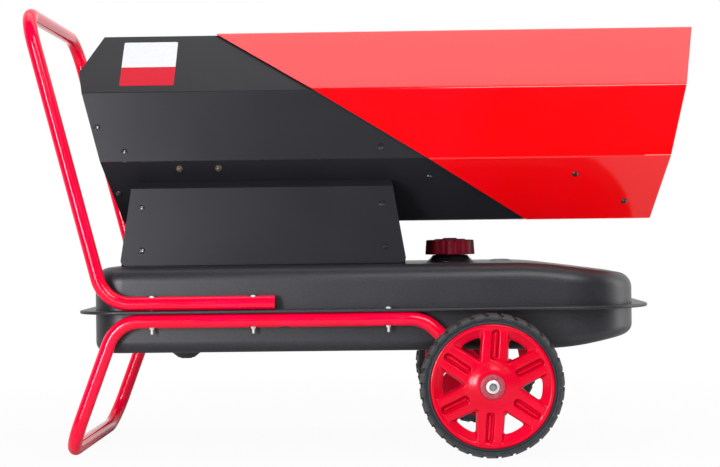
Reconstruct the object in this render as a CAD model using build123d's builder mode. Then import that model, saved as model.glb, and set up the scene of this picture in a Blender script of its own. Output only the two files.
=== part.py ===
from build123d import *
from math import cos, hypot, radians, sin
import os

# Oil-fired forced air heater on a wheeled tube frame: a pressed fuel tank, a control box on the tank
# and an eight-sided sheet duct on the box, with fan, burner and combustion chamber inside.
# Frame: +X out of the air outlet, +Z up, the origin on the floor under the middle of the outline.
# Left is +Y, the side with the controls. All sizes are millimetres.

# ---------------------------------------------------------------- driving dimensions
HALF_LENGTH = 601.0  # rear of the handle to the middle, and the middle to the lip of the hood

TUBE_R = 12.5
TUBE_WALL = 2.5
BEND_R = 60.0
RAIL_Y = 238.0  # middle of each rail of the frame
UPPER_RAIL_Z = 270.5  # the rails lie on and under the tank's flange
LOWER_RAIL_Z = 239.5
HANDLE_TOP_Z = 784.5

WHEEL_R = 125.0
WHEEL_X = 218.0
WHEEL_Y = 282.0  # middle of each tyre
TYRE_WIDTH = 46.0
RIM_R = 108.0
AXLE_R = 6.0
AXLE_HALF = 318.0

SEAM_Z = 255.0  # where the two tank shells meet
FLANGE = 3.0  # each shell's folded flange
FLANGE_NOSE_R = 2.4
TANK_REAR = -482.0
TANK_FRONT = 482.5
TANK_HALF_WIDTH = 222.0
TANK_TOP = 334.0
TANK_BOTTOM = 182.0
TANK_SHEET = 1.2
FLANGE_MARGIN = 28.0

DUCT_Z = 584.0  # axis of the duct, the fan and the chamber
DUCT_HALF = 172.0  # axis to the flat faces
DUCT_TOP_HALF = 78.0  # half the width of the top and bottom faces
DUCT_SIDE_HALF = 62.0  # half the height of the side faces
FOLD_R = 2.5
SHEET = 1.0
HOOD_STEP = 3.5  # the red hood stands this far outside the black casing
HOOD_FLOOR_STEP = 1.1  # and this far under it
SEAM_GAP = 0.4

BOX_HALF_WIDTH = 180.0
BOX_BOTTOM = 336.0  # lower edge of the side panels
BOX_FOLD_Z = 473.0
BOX_TOP_Z = 486.5
PANEL_SHEET = 1.5

FILLER_X = 157.0
GAUGE_X = 251.0
FAN_X = -400.0
BOLT_R = 2.5
SCREW_R = 2.0


def save(piece, label):
    """Label a finished piece and write it as its own file."""
    piece.part.label = label
    export_step(piece.part, f"parts/{label}.step")


os.makedirs("parts", exist_ok=True)

# ---------------------------------------------------------------- tube frame
# Two U tubes: the upper one is the push handle, the lower one the rear foot and the front legs.
HANDLE_CORNER_X = -455.6
HANDLE_END_X = -156.5
HANDLE_BAR_X = -HALF_LENGTH + TUBE_R
FOOT_CORNER_X = -434.3
FOOT_BAR_X = -518.6
FRONT_CORNER_X = WHEEL_X - (LOWER_RAIL_Z - WHEEL_R)  # the legs go down to the axle at 45 degrees
LEG_OVERRUN = 12.7  # the legs run past the axle by this much, along X and along Z

LONG_BOLTS_X = (-372.6, -194.8)  # through both rails and the seam
SHORT_BOLT_X = 41.3  # through the seam and the lower rail
SPARE_HOLE_X = -138.0
HOLE_R = 2.8
DENT = 2.2  # the tube is crushed this much where a bolt bears on it
DENT_R = 30.0


def both_sides(*places):
    """The same places on the right and the left rail."""
    return [(x, side * RAIL_Y, z) for x, z in places for side in (-1, 1)]


handle_points = [
    (HANDLE_END_X, -RAIL_Y, UPPER_RAIL_Z),
    (HANDLE_CORNER_X, -RAIL_Y, UPPER_RAIL_Z),
    (HANDLE_BAR_X, -RAIL_Y, HANDLE_TOP_Z),
    (HANDLE_BAR_X, RAIL_Y, HANDLE_TOP_Z),
    (HANDLE_CORNER_X, RAIL_Y, UPPER_RAIL_Z),
    (HANDLE_END_X, RAIL_Y, UPPER_RAIL_Z),
]
with BuildPart() as handle_tube:
    with BuildLine():
        FilletPolyline(*handle_points, radius=BEND_R)
    with BuildSketch(Plane(origin=handle_points[0], z_dir=(-1, 0, 0))):
        Circle(TUBE_R)
        Circle(TUBE_R - TUBE_WALL, mode=Mode.SUBTRACT)
    sweep()
    with Locations(*both_sides(*[(x, UPPER_RAIL_Z + TUBE_R - DENT + DENT_R) for x in LONG_BOLTS_X])):
        Cylinder(DENT_R, 3 * TUBE_R, rotation=(90, 0, 0), mode=Mode.SUBTRACT)
    with Locations(*both_sides(*[(x, UPPER_RAIL_Z) for x in LONG_BOLTS_X])):
        Cylinder(HOLE_R, 3 * TUBE_R, mode=Mode.SUBTRACT)
save(handle_tube, "handle_tube")

chassis_points = [
    (WHEEL_X + LEG_OVERRUN, -RAIL_Y, WHEEL_R - LEG_OVERRUN),
    (FRONT_CORNER_X, -RAIL_Y, LOWER_RAIL_Z),
    (FOOT_CORNER_X, -RAIL_Y, LOWER_RAIL_Z),
    (FOOT_BAR_X, -RAIL_Y, TUBE_R),
    (FOOT_BAR_X, RAIL_Y, TUBE_R),
    (FOOT_CORNER_X, RAIL_Y, LOWER_RAIL_Z),
    (FRONT_CORNER_X, RAIL_Y, LOWER_RAIL_Z),
    (WHEEL_X + LEG_OVERRUN, RAIL_Y, WHEEL_R - LEG_OVERRUN),
]
lower_bolts_x = (*LONG_BOLTS_X, SHORT_BOLT_X)
with BuildPart() as chassis_tube:
    with BuildLine():
        FilletPolyline(*chassis_points, radius=BEND_R)
    with BuildSketch(Plane(origin=chassis_points[0], z_dir=(-1, 0, 1))):
        Circle(TUBE_R)
        Circle(TUBE_R - TUBE_WALL, mode=Mode.SUBTRACT)
    sweep()
    dented = (*lower_bolts_x, SPARE_HOLE_X)
    with Locations(*both_sides(*[(x, LOWER_RAIL_Z - TUBE_R + DENT - DENT_R) for x in dented])):
        Cylinder(DENT_R, 3 * TUBE_R, rotation=(90, 0, 0), mode=Mode.SUBTRACT)
    with Locations(*both_sides(*[(x, LOWER_RAIL_Z) for x in dented])):
        Cylinder(HOLE_R, 3 * TUBE_R, mode=Mode.SUBTRACT)
    with Locations((WHEEL_X, 0, WHEEL_R)):
        Cylinder(AXLE_R + 0.1, 2 * AXLE_HALF, rotation=(90, 0, 0), mode=Mode.SUBTRACT)
save(chassis_tube, "chassis_tube")

PLUG_R = TUBE_R - TUBE_WALL - 0.1
PLUG_LENGTH = 9.0
with BuildPart() as tube_plugs:
    for side in (-1, 1):
        rail_end = Plane(origin=(HANDLE_END_X, side * RAIL_Y, UPPER_RAIL_Z), z_dir=(-1, 0, 0))
        leg_end = Plane(
            origin=(WHEEL_X + LEG_OVERRUN, side * RAIL_Y, WHEEL_R - LEG_OVERRUN), z_dir=(-1, 0, 1)
        )
        for end in (rail_end, leg_end):
            with BuildSketch(end):
                Circle(PLUG_R)
            extrude(amount=PLUG_LENGTH)
save(tube_plugs, "tube_plugs")

# Domed bolts: heads on the upper rail or the seam, nuts under the lower rail.
BOLT_HEAD_R = 4.9
HEAD_HEIGHT = 3.0
NUT_FLAT = 4.0  # half across the flats
NUT_HEIGHT = 4.0
BOLT_STUB = 12.0  # from the seat to the end of the thread
CROWN = 0.42  # a flat seat bears this far out, on the ends of the curved dent
upper_seat_z = UPPER_RAIL_Z + TUBE_R - DENT + CROWN
lower_seat_z = LOWER_RAIL_Z - TUBE_R + DENT - CROWN
bolt_end_z = lower_seat_z - BOLT_STUB
bolt_seats = [(x, upper_seat_z) for x in LONG_BOLTS_X] + [(SHORT_BOLT_X, SEAM_Z + FLANGE)]
with BuildPart() as frame_bolts:
    for x, y, seat in both_sides(*bolt_seats):
        with Locations((x, y, seat)):
            Cylinder(BOLT_R, seat - bolt_end_z, align=(Align.CENTER, Align.CENTER, Align.MAX))
            Cylinder(BOLT_HEAD_R, HEAD_HEIGHT, align=(Align.CENTER, Align.CENTER, Align.MIN))
    domes = [
        edge
        for edge in frame_bolts.edges().filter_by(GeomType.CIRCLE)
        if any(abs(edge.center().Z - seat - HEAD_HEIGHT) < 0.01 for _, seat in bolt_seats)
    ]
    fillet(domes, 0.8 * HEAD_HEIGHT)
save(frame_bolts, "frame_bolts")

with BuildPart() as frame_nuts:
    for x, y, seat in both_sides(*[(x, lower_seat_z) for x in lower_bolts_x]):
        with BuildSketch(Plane.XY.offset(seat)):
            with Locations((x, y)):
                RegularPolygon(NUT_FLAT, 6, major_radius=False)
                Circle(BOLT_R + 0.05, mode=Mode.SUBTRACT)
        extrude(amount=-NUT_HEIGHT)
save(frame_nuts, "frame_nuts")

# ---------------------------------------------------------------- wheels
# Seen from outside, each wheel is drawn on a plane whose z axis points outwards along the axle.
HUB_FACE = 306.0  # distances from the middle plane, along the axle
HUB_BACK = 257.0
WEB_FACE = 300.0
WEB_BACK = 286.0
BARREL_OUT = 302.0
BARREL_IN = 262.0
HUB_R = 34.0
HUB_SLEEVE_R = 24.0
BUSH_R = 16.0
BUSH_FLANGE_R = 21.7
BUSH_FLANGE = 4.0
RETAINER_R = 11.5
WINDOWS = 6
SPOKE_TURN = -4.0  # degrees, seen from the right: the wheels stand a little turned
LEFT_AHEAD = 16.0  # and the left rim stands this much further
GROOVE_IN = 46.0
GROOVE_OUT = 96.0
GROOVE_WIDTH = 10.0
GROOVE_DEPTH = 5.0
TREAD_BLOCKS = 30
TREAD_DEPTH = 4.0
TREAD_GROOVE = 7.0
TREAD_RIB = 3.0  # half the unbroken band between the two rows of blocks

wheel_face = Plane(origin=(WHEEL_X, 0, WHEEL_R), x_dir=(1, 0, 0), z_dir=(0, -1, 0))
wheel_section = Plane(origin=(WHEEL_X, 0, WHEEL_R), x_dir=(1, 0, 0), z_dir=(0, 0, -1))
axle_line = Axis((WHEEL_X, 0, WHEEL_R), (0, 1, 0))


def window_shape(apex, base, half_width, corner):
    """Rounded triangle between two spokes, with its point towards the hub."""
    with BuildSketch(mode=Mode.PRIVATE) as shape:
        Polygon((apex, 0), (base, -half_width), (base, half_width), align=None)
        fillet(shape.vertices(), corner)
    return shape.sketch


def window_cutter():
    """The space of one window: wide at the wheel's face, narrow at the back."""
    with BuildPart(mode=Mode.PRIVATE) as cutter:
        with BuildSketch(Plane.XY.offset(WEB_FACE + 0.5)):
            add(window_shape(44.0, 97.0, 28.5, 4.0))
        with BuildSketch(Plane.XY.offset(WEB_BACK + 3.0)):
            add(window_shape(49.0, 85.0, 19.0, 3.0))
        loft()
        with BuildSketch(Plane.XY.offset(WEB_BACK - 1.0)):
            add(window_shape(49.0, 85.0, 19.0, 3.0))
        extrude(amount=5.0)
    return cutter.part


one_window = window_cutter()
with BuildPart() as wheel_rim_right:
    with BuildSketch(wheel_section):
        with BuildLine():
            Polyline(
                (BUSH_R, HUB_BACK),
                (HUB_SLEEVE_R, HUB_BACK),
                (HUB_SLEEVE_R, WEB_BACK),
                (RIM_R - 4.0, WEB_BACK),
                (RIM_R - 4.0, BARREL_IN),
                (RIM_R, BARREL_IN),
                (RIM_R, BARREL_OUT - 2.0),
                (RIM_R - 2.0, BARREL_OUT),
                (RIM_R - 6.0, BARREL_OUT),
                (RIM_R - 9.0, WEB_FACE),
                (HUB_R + 3.0, WEB_FACE),
                (HUB_R, WEB_FACE + 3.0),
                (HUB_R - 2.0, HUB_FACE),
                (BUSH_R, HUB_FACE),
                close=True,
            )
        make_face()
    revolve(axis=axle_line)
    with Locations(wheel_face):
        with PolarLocations(0, WINDOWS, start_angle=SPOKE_TURN):
            add(one_window, mode=Mode.SUBTRACT)
    with BuildSketch(wheel_face.offset(WEB_FACE)):
        middle_r = (GROOVE_IN + GROOVE_OUT) / 2
        with PolarLocations(middle_r, WINDOWS, start_angle=SPOKE_TURN + 180 / WINDOWS):
            SlotOverall(GROOVE_OUT - GROOVE_IN, GROOVE_WIDTH)
    extrude(amount=-GROOVE_DEPTH, mode=Mode.SUBTRACT)
save(wheel_rim_right, "wheel_rim_right")

tyre_in = WHEEL_Y - TYRE_WIDTH / 2
tyre_out = WHEEL_Y + TYRE_WIDTH / 2
with BuildPart() as tyre_right:
    with BuildSketch(wheel_section):
        with BuildLine():
            Line((RIM_R + 0.05, tyre_out - 6), (RIM_R + 0.05, tyre_in + 6))
            ThreePointArc(
                (RIM_R + 0.05, tyre_in + 6), (RIM_R + 6, tyre_in + 1.5), (WHEEL_R - 6, tyre_in)
            )
            ThreePointArc(
                (WHEEL_R - 6, tyre_in), (WHEEL_R - 1.6, tyre_in + 3), (WHEEL_R, tyre_in + 9)
            )
            Line((WHEEL_R, tyre_in + 9), (WHEEL_R, tyre_out - 9))
            ThreePointArc(
                (WHEEL_R, tyre_out - 9), (WHEEL_R - 1.6, tyre_out - 3), (WHEEL_R - 6, tyre_out)
            )
            ThreePointArc(
                (WHEEL_R - 6, tyre_out), (RIM_R + 6, tyre_out - 1.5), (RIM_R + 0.05, tyre_out - 6)
            )
        make_face()
    revolve(axis=axle_line)
    # The row's block edges lie half a groove either side of each place, so a block meets the floor.
    pitch = 360 / TREAD_BLOCKS
    row_width = TYRE_WIDTH / 2 - TREAD_RIB
    for row, start in ((-1, pitch / 2), (1, 0.0)):
        middle = WHEEL_Y + row * (TREAD_RIB + row_width / 2 + 1)
        with Locations(wheel_face.offset(middle)):
            with PolarLocations(WHEEL_R - TREAD_DEPTH / 2 + 1, TREAD_BLOCKS, start_angle=start):
                Box(TREAD_DEPTH + 2, TREAD_GROOVE, row_width + 2, mode=Mode.SUBTRACT)
save(tyre_right, "tyre_right")

with BuildPart() as wheel_bush_right:
    with BuildSketch(wheel_face.offset(HUB_BACK)):
        Circle(BUSH_R - 0.02)
        Circle(AXLE_R + 0.05, mode=Mode.SUBTRACT)
    extrude(amount=HUB_FACE - HUB_BACK)
    with BuildSketch(wheel_face.offset(HUB_FACE)):
        Circle(BUSH_FLANGE_R)
        Circle(AXLE_R + 0.05, mode=Mode.SUBTRACT)
    extrude(amount=BUSH_FLANGE)
    chamfer(wheel_bush_right.edges().group_by(Axis.Y)[0].sort_by(SortBy.RADIUS)[-1], 1.2)
save(wheel_bush_right, "wheel_bush_right")

for right_piece, label, ahead in (
    (wheel_rim_right, "wheel_rim_left", LEFT_AHEAD),
    (tyre_right, "tyre_left", 0.0),
    (wheel_bush_right, "wheel_bush_left", 0.0),
):
    twin = mirror(right_piece.part, about=Plane.XZ).rotate(axle_line, -ahead)
    with BuildPart() as left_piece:
        add(twin)
    save(left_piece, label)

with BuildPart() as axle:
    with Locations((WHEEL_X, 0, WHEEL_R)):
        Cylinder(AXLE_R, 2 * AXLE_HALF, rotation=(90, 0, 0))
    chamfer(axle.edges().filter_by(GeomType.CIRCLE), 1.5)
save(axle, "axle")

SPACER_R = 11.0
SIDE_PLAY = 0.3
RETAINER = 2.5
spacer_start = RAIL_Y + TUBE_R
retainer_start = HUB_FACE + BUSH_FLANGE + SIDE_PLAY
with BuildPart() as axle_washers:
    for side in (-1, 1):
        for start, end, radius in (
            (spacer_start, HUB_BACK - SIDE_PLAY, SPACER_R),
            (retainer_start, retainer_start + RETAINER, RETAINER_R),
        ):
            with BuildSketch(Plane(origin=(WHEEL_X, side * start, WHEEL_R), z_dir=(0, side, 0))):
                Circle(radius)
                Circle(AXLE_R + 0.02, mode=Mode.SUBTRACT)
            extrude(amount=end - start)
save(axle_washers, "axle_washers")

# ---------------------------------------------------------------- fuel tank
# Two pressed shells, welded at a folded flange. The front is lower at the top and higher below.
REAR_CORNER_R = 55.0
FRONT_CORNER_R = 130.0
TOP_SLOPE = ((300.0, TANK_TOP), (478.0, 311.0))
BOTTOM_SLOPE = ((345.0, TANK_BOTTOM), (475.0, 203.5))
TOP_EDGE_R = 28.0
BOTTOM_EDGE_R = 20.0
CREASE_R = 600.0
SUMP = (-329.0, -100.0)
SUMP_TOP_R = 34.0
SUMP_BOTTOM_R = 15.0
SUMP_DEPTH = 15.0
DRAIN_R = 6.8
DRAIN_COLLAR_R = 10.5
DRAIN_COLLAR = 1.5
DRAIN_SOCKET = 4.0  # half across the flats
PICKUP = (-90.0, 60.0)  # where the suction pipe goes down into the tank


def tank_outline(margin):
    """The tank seen from above, with this margin outside its walls."""
    with BuildSketch(mode=Mode.PRIVATE) as outline:
        with Locations(((TANK_REAR + TANK_FRONT) / 2, 0)):
            Rectangle(TANK_FRONT - TANK_REAR + 2 * margin, 2 * (TANK_HALF_WIDTH + margin))
        fillet(outline.vertices().group_by(Axis.X)[0], REAR_CORNER_R + margin)
        fillet(outline.vertices().group_by(Axis.X)[-1], FRONT_CORNER_R + margin)
    return outline.sketch


def tank_half(inset, top):
    """Solid of one half of the tank, moved in by inset, open at the seam."""
    level = TANK_TOP - inset if top else TANK_BOTTOM + inset
    start, end = TOP_SLOPE if top else BOTTOM_SLOPE
    shift = level - start[1]
    fall = (end[1] - start[1]) / (end[0] - start[0])
    past = TANK_FRONT + 100
    with BuildPart(mode=Mode.PRIVATE) as half:
        with BuildSketch(Plane.XZ):
            Polygon(
                (TANK_REAR - 100, SEAM_Z),
                (TANK_REAR - 100, level),
                (start[0], level),
                (past, start[1] + shift + fall * (past - start[0])),
                (past, SEAM_Z),
                align=None,
            )
        extrude(amount=TANK_HALF_WIDTH + 10, both=True)
        crease = [
            edge
            for edge in half.edges().filter_by(Axis.Y)
            if abs(edge.center().X - start[0]) < 1 and abs(edge.center().Z - level) < 1
        ]
        fillet(crease, CREASE_R)
        with BuildSketch(Plane.XY.offset(SEAM_Z)):
            add(tank_outline(-inset))
        extrude(amount=level - SEAM_Z + (20 if top else -20), mode=Mode.INTERSECT)
        rim = [edge for edge in half.edges() if is_rim(edge)]
        fillet(rim, (TOP_EDGE_R if top else BOTTOM_EDGE_R) - inset)
    return half.part


def is_rim(edge):
    """True for the edges where the top or bottom meets the walls."""
    middle = edge.position_at(0.5)
    at_seam = abs(middle.Z - SEAM_Z) < 1
    upright = abs(edge.tangent_at(0.5).Z) > 0.9
    ends = (edge.position_at(0), edge.position_at(1))
    crosses = abs(ends[0].Y - ends[1].Y) > TANK_HALF_WIDTH
    inside = TANK_REAR + 100 < middle.X < TANK_FRONT - 60
    return not (at_seam or upright or (crosses and inside))


def flange_plate(low_z):
    """The folded flange round one shell, with the holes of the frame bolts."""
    with BuildPart(mode=Mode.PRIVATE) as plate:
        with BuildSketch(Plane.XY.offset(low_z)):
            add(tank_outline(FLANGE_MARGIN))
        extrude(amount=FLANGE)
        away = plate.faces().filter_by(Axis.Z).sort_by(lambda face: abs(face.center().Z - SEAM_Z))[-1]
        fillet(away.edges(), FLANGE_NOSE_R)
        with BuildSketch(Plane.XY.offset(low_z)):
            add(tank_outline(-TANK_SHEET))
        extrude(amount=FLANGE, mode=Mode.SUBTRACT)
        holes = [(x, low_z + FLANGE / 2) for x in (*lower_bolts_x, SPARE_HOLE_X)]
        with Locations(*both_sides(*holes)):
            Cylinder(HOLE_R, 2 * FLANGE, mode=Mode.SUBTRACT)
    return plate.part


NECK_HOLE_R = 26.0
GAUGE_CAN_R = 17.0
PICKUP_R = 4.0
upper_outside = tank_half(0, True)
upper_inside = tank_half(TANK_SHEET, True)
upper_flange = flange_plate(SEAM_Z)
with BuildPart() as tank_upper_shell:
    add(upper_outside)
    add(upper_inside, mode=Mode.SUBTRACT)
    add(upper_flange)
    for x, y, radius in (
        (FILLER_X, 0, NECK_HOLE_R),
        (GAUGE_X, 0, GAUGE_CAN_R + 0.3),
        (*PICKUP, PICKUP_R + 0.3),
    ):
        with Locations((x, y, TANK_TOP)):
            Cylinder(radius, 6, mode=Mode.SUBTRACT)
save(tank_upper_shell, "tank_upper_shell")

lower_outside = tank_half(0, False)
lower_inside = tank_half(TANK_SHEET, False)
lower_flange = flange_plate(SEAM_Z - FLANGE)
with BuildPart() as tank_lower_shell:
    add(lower_outside)
    with Locations((*SUMP, TANK_BOTTOM)):
        Cone(SUMP_BOTTOM_R, SUMP_TOP_R, SUMP_DEPTH, align=(Align.CENTER, Align.CENTER, Align.MAX))
    add(lower_inside, mode=Mode.SUBTRACT)
    with Locations((*SUMP, TANK_BOTTOM + TANK_SHEET)):
        Cone(
            SUMP_BOTTOM_R - TANK_SHEET,
            SUMP_TOP_R - TANK_SHEET,
            SUMP_DEPTH,
            align=(Align.CENTER, Align.CENTER, Align.MAX),
            mode=Mode.SUBTRACT,
        )
    add(lower_flange)
    with Locations((*SUMP, TANK_BOTTOM - SUMP_DEPTH)):
        Cylinder(DRAIN_R + 0.2, 8, mode=Mode.SUBTRACT)
save(tank_lower_shell, "tank_lower_shell")

# Drain: a plug with a thin collar and a hexagon socket, screwed up into the sump.
sump_z = TANK_BOTTOM - SUMP_DEPTH
with BuildPart() as drain_plug:
    with BuildSketch(Plane.XY.offset(sump_z)):
        with Locations(SUMP):
            Circle(DRAIN_COLLAR_R)
    extrude(amount=-DRAIN_COLLAR)
    with BuildSketch(Plane.XY.offset(sump_z)):
        with Locations(SUMP):
            Circle(DRAIN_R)
    extrude(amount=9.0)
    with BuildSketch(Plane.XY.offset(sump_z - DRAIN_COLLAR)):
        with Locations(SUMP):
            RegularPolygon(DRAIN_SOCKET, 6, major_radius=False)
    extrude(amount=7.0, mode=Mode.SUBTRACT)
save(drain_plug, "drain_plug")

# Filler: a flared neck, a hanging strainer and a lobed cap that turns on its seal.
NECK_FOOT_R = 44.0
NECK_R = 31.5
NECK_TOP_Z = 346.5
SPOUT_R = 29.0
SPOUT_Z = 368.5
SPOUT_BORE_R = 24.5
CAP_BASE_Z = 347.5
CAP_TOP_Z = 378.5
CAP_BODY_R = 41.0
CAP_LOBE_R = 11.5
CAP_LOBES = 8
CAP_R = 46.4
CAP_DISC = 2.0  # the middle of its top stands this much higher
SEAL_THICK = 2.5
with BuildPart() as filler_neck:
    with BuildSketch(Plane.XZ):
        with BuildLine():
            Polyline(
                (FILLER_X + SPOUT_BORE_R, TANK_TOP - 8),
                (FILLER_X + NECK_HOLE_R - 0.2, TANK_TOP - 8),
                (FILLER_X + NECK_HOLE_R - 0.2, TANK_TOP),
                (FILLER_X + NECK_FOOT_R, TANK_TOP),
                (FILLER_X + NECK_FOOT_R, TANK_TOP + 1.5),
                (FILLER_X + NECK_R, NECK_TOP_Z),
                (FILLER_X + SPOUT_R, NECK_TOP_Z),
                (FILLER_X + SPOUT_R, SPOUT_Z),
                (FILLER_X + SPOUT_BORE_R + 2.5, SPOUT_Z),
                (FILLER_X + SPOUT_BORE_R + 2.5, SPOUT_Z - 1.5),
                (FILLER_X + SPOUT_BORE_R, SPOUT_Z - 1.5),
                close=True,
            )
        make_face()
    revolve(axis=Axis((FILLER_X, 0, 0), (0, 0, 1)))
save(filler_neck, "filler_neck")

STRAINER_R = SPOUT_BORE_R - 0.3
STRAINER_LENGTH = 90.0
with BuildPart() as filler_strainer:
    with Locations((FILLER_X, 0, SPOUT_Z)):
        down = (Align.CENTER, Align.CENTER, Align.MAX)
        Cylinder(STRAINER_R, STRAINER_LENGTH, align=down)
        Cylinder(STRAINER_R + 2.3, 1.5, align=down)
        Cylinder(STRAINER_R - 1, STRAINER_LENGTH - 1.5, align=down, mode=Mode.SUBTRACT)
    for row in range(5):
        with Locations(Plane(origin=(FILLER_X, 0, SPOUT_Z - 30 - 13 * row))):
            for turn in range(4):
                Cylinder(3, 3 * STRAINER_R, rotation=(0, 90, 45 * turn), mode=Mode.SUBTRACT)
save(filler_strainer, "filler_strainer")

with BuildPart() as cap_seal:
    with BuildSketch(Plane.XY.offset(SPOUT_Z)):
        with Locations((FILLER_X, 0)):
            Circle(SPOUT_R + 1.2)
            Circle(SPOUT_BORE_R + 1, mode=Mode.SUBTRACT)
    extrude(amount=SEAL_THICK)
save(cap_seal, "cap_seal")

with BuildPart() as fuel_cap:
    with BuildSketch(Plane.XY.offset(CAP_BASE_Z)):
        with Locations((FILLER_X, 0)):
            Circle(CAP_BODY_R)
            with PolarLocations(CAP_R - CAP_LOBE_R, CAP_LOBES, start_angle=22.5):
                Circle(CAP_LOBE_R)
    extrude(amount=CAP_TOP_Z - CAP_BASE_Z - CAP_DISC)
    chamfer(fuel_cap.faces().sort_by(Axis.Z)[-1].edges(), 1.0)
    with BuildSketch(Plane.XY.offset(CAP_TOP_Z - CAP_DISC)):
        with Locations((FILLER_X, 0)):
            Circle(CAP_BODY_R - 9)
    extrude(amount=CAP_DISC, taper=30)
    with BuildSketch(Plane.XY.offset(CAP_BASE_Z)):
        with Locations((FILLER_X, 0)):
            Circle(SPOUT_R + 2)
    extrude(amount=SPOUT_Z + SEAL_THICK - CAP_BASE_Z, mode=Mode.SUBTRACT)
save(fuel_cap, "fuel_cap")

# Fuel gauge: a float on an arm turns a needle under a clear lens.
BEZEL_R = 21.0
DIAL_Z = TANK_TOP + 1.5
LENS_Z = TANK_TOP + 3.0
PIVOT_Z = 300.0
CAN_BOTTOM = 308.0
EAR_GAP = 7.4
PIVOT_R = 2.0
ARM_LENGTH = 120.0
FLOAT_R = 14.0
FLOAT_LENGTH = 36.0
ARM_ANGLE = -53.0  # below the horizontal, when the tank is empty
with BuildPart() as gauge_body:
    with Locations((GAUGE_X, 0, TANK_TOP)):
        Cylinder(BEZEL_R, 4, align=(Align.CENTER, Align.CENTER, Align.MIN))
        Cylinder(GAUGE_CAN_R, TANK_TOP - CAN_BOTTOM, align=(Align.CENTER, Align.CENTER, Align.MAX))
    chamfer(gauge_body.faces().sort_by(Axis.Z)[-1].edges(), 1.0)
    with Locations((GAUGE_X, 0, DIAL_Z)):
        Cylinder(BEZEL_R - 2.5, 6, align=(Align.CENTER, Align.CENTER, Align.MIN), mode=Mode.SUBTRACT)
        Cylinder(1.05, 4, mode=Mode.SUBTRACT)
    for side in (-1, 1):
        ear_x = GAUGE_X + side * (EAR_GAP / 2 + 1)
        with BuildSketch(Plane(origin=(ear_x, 0, 0), x_dir=(0, 1, 0), z_dir=(1, 0, 0))):
            with Locations((0, (CAN_BOTTOM + PIVOT_Z) / 2)):
                Rectangle(9, CAN_BOTTOM - PIVOT_Z)
            with Locations((0, PIVOT_Z)):
                Circle(4.5)
                Circle(PIVOT_R + 0.05, mode=Mode.SUBTRACT)
        extrude(amount=1, both=True)
save(gauge_body, "gauge_body")

with BuildPart() as gauge_lens:
    with Locations((GAUGE_X, 0, LENS_Z)):
        Cylinder(BEZEL_R - 2.7, 1.4, align=(Align.CENTER, Align.CENTER, Align.MIN))
    fillet(gauge_lens.edges().sort_by(Axis.Z)[-1], 0.5)
save(gauge_lens, "gauge_lens")

with BuildPart() as gauge_needle:
    with BuildSketch(Plane.XY.offset(DIAL_Z + 0.3)):
        with Locations((GAUGE_X, 0)):
            Circle(2.5)
        with Locations((GAUGE_X + 5, 0)):
            Rectangle(20, 1.4)
    extrude(amount=0.7)
    with Locations((GAUGE_X, 0, DIAL_Z + 0.3)):
        Cylinder(1.0, 1.7, align=(Align.CENTER, Align.CENTER, Align.MAX))
save(gauge_needle, "gauge_needle")

arm_y = cos(radians(ARM_ANGLE))
arm_z = sin(radians(ARM_ANGLE))
float_centre = (GAUGE_X, ARM_LENGTH * arm_y, PIVOT_Z + ARM_LENGTH * arm_z)
with BuildPart() as gauge_arm:
    with Locations((GAUGE_X, 0, PIVOT_Z)):
        Cylinder(4.0, EAR_GAP - 0.6, rotation=(0, 90, 0))
        Cylinder(PIVOT_R, EAR_GAP + 6, rotation=(0, 90, 0))
    with BuildSketch(Plane(origin=(GAUGE_X, 0, PIVOT_Z), z_dir=(0, arm_y, arm_z))):
        Circle(1.6)
    extrude(amount=ARM_LENGTH - FLOAT_R)
save(gauge_arm, "gauge_arm")

with BuildPart() as gauge_float:
    with Locations(float_centre):
        Cylinder(FLOAT_R, FLOAT_LENGTH, rotation=(0, 90, 0))
    fillet(gauge_float.edges().filter_by(GeomType.CIRCLE), 3)
    with BuildSketch(Plane(origin=(GAUGE_X, 0, PIVOT_Z), z_dir=(0, arm_y, arm_z))):
        Circle(1.7)
    extrude(amount=ARM_LENGTH - FLOAT_R, mode=Mode.SUBTRACT)
save(gauge_float, "gauge_float")

# Fuel pickup: a pipe to the bottom of the tank with a foot filter, and a line up to the nozzle.
FILTER_R = 12.0
FILTER_BOTTOM = TANK_BOTTOM + 10
PICKUP_TOP = TANK_TOP + 18
NOZZLE_BLOCK = 8.0
with BuildPart() as suction_pipe:
    with BuildSketch(Plane.XY.offset(FILTER_BOTTOM + 12)):
        with Locations(PICKUP):
            Circle(PICKUP_R)
            Circle(PICKUP_R - 1, mode=Mode.SUBTRACT)
    extrude(amount=PICKUP_TOP - FILTER_BOTTOM - 12)
    with BuildSketch(Plane.XY.offset(TANK_TOP)):
        with Locations(PICKUP):
            RegularPolygon(9, 6, major_radius=False)
            Circle(PICKUP_R - 1, mode=Mode.SUBTRACT)
    extrude(amount=8)
save(suction_pipe, "suction_pipe")

with BuildPart() as fuel_filter:
    with Locations((*PICKUP, FILTER_BOTTOM)):
        Cylinder(FILTER_R, 30, align=(Align.CENTER, Align.CENTER, Align.MIN))
    with Locations((*PICKUP, FILTER_BOTTOM + 12)):
        Cylinder(PICKUP_R + 0.05, 30, align=(Align.CENTER, Align.CENTER, Align.MIN), mode=Mode.SUBTRACT)
    fillet(fuel_filter.edges().sort_by(Axis.Z)[0], 3)
save(fuel_filter, "fuel_filter")

with BuildPart() as fuel_line:
    with BuildLine():
        FilletPolyline(
            (*PICKUP, PICKUP_TOP),
            (*PICKUP, DUCT_Z),
            (PICKUP[0], NOZZLE_BLOCK, DUCT_Z),
            radius=25,
        )
    with BuildSketch(Plane.XY.offset(PICKUP_TOP)):
        with Locations(PICKUP):
            Circle(3)
    sweep()
save(fuel_line, "fuel_line")

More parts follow.
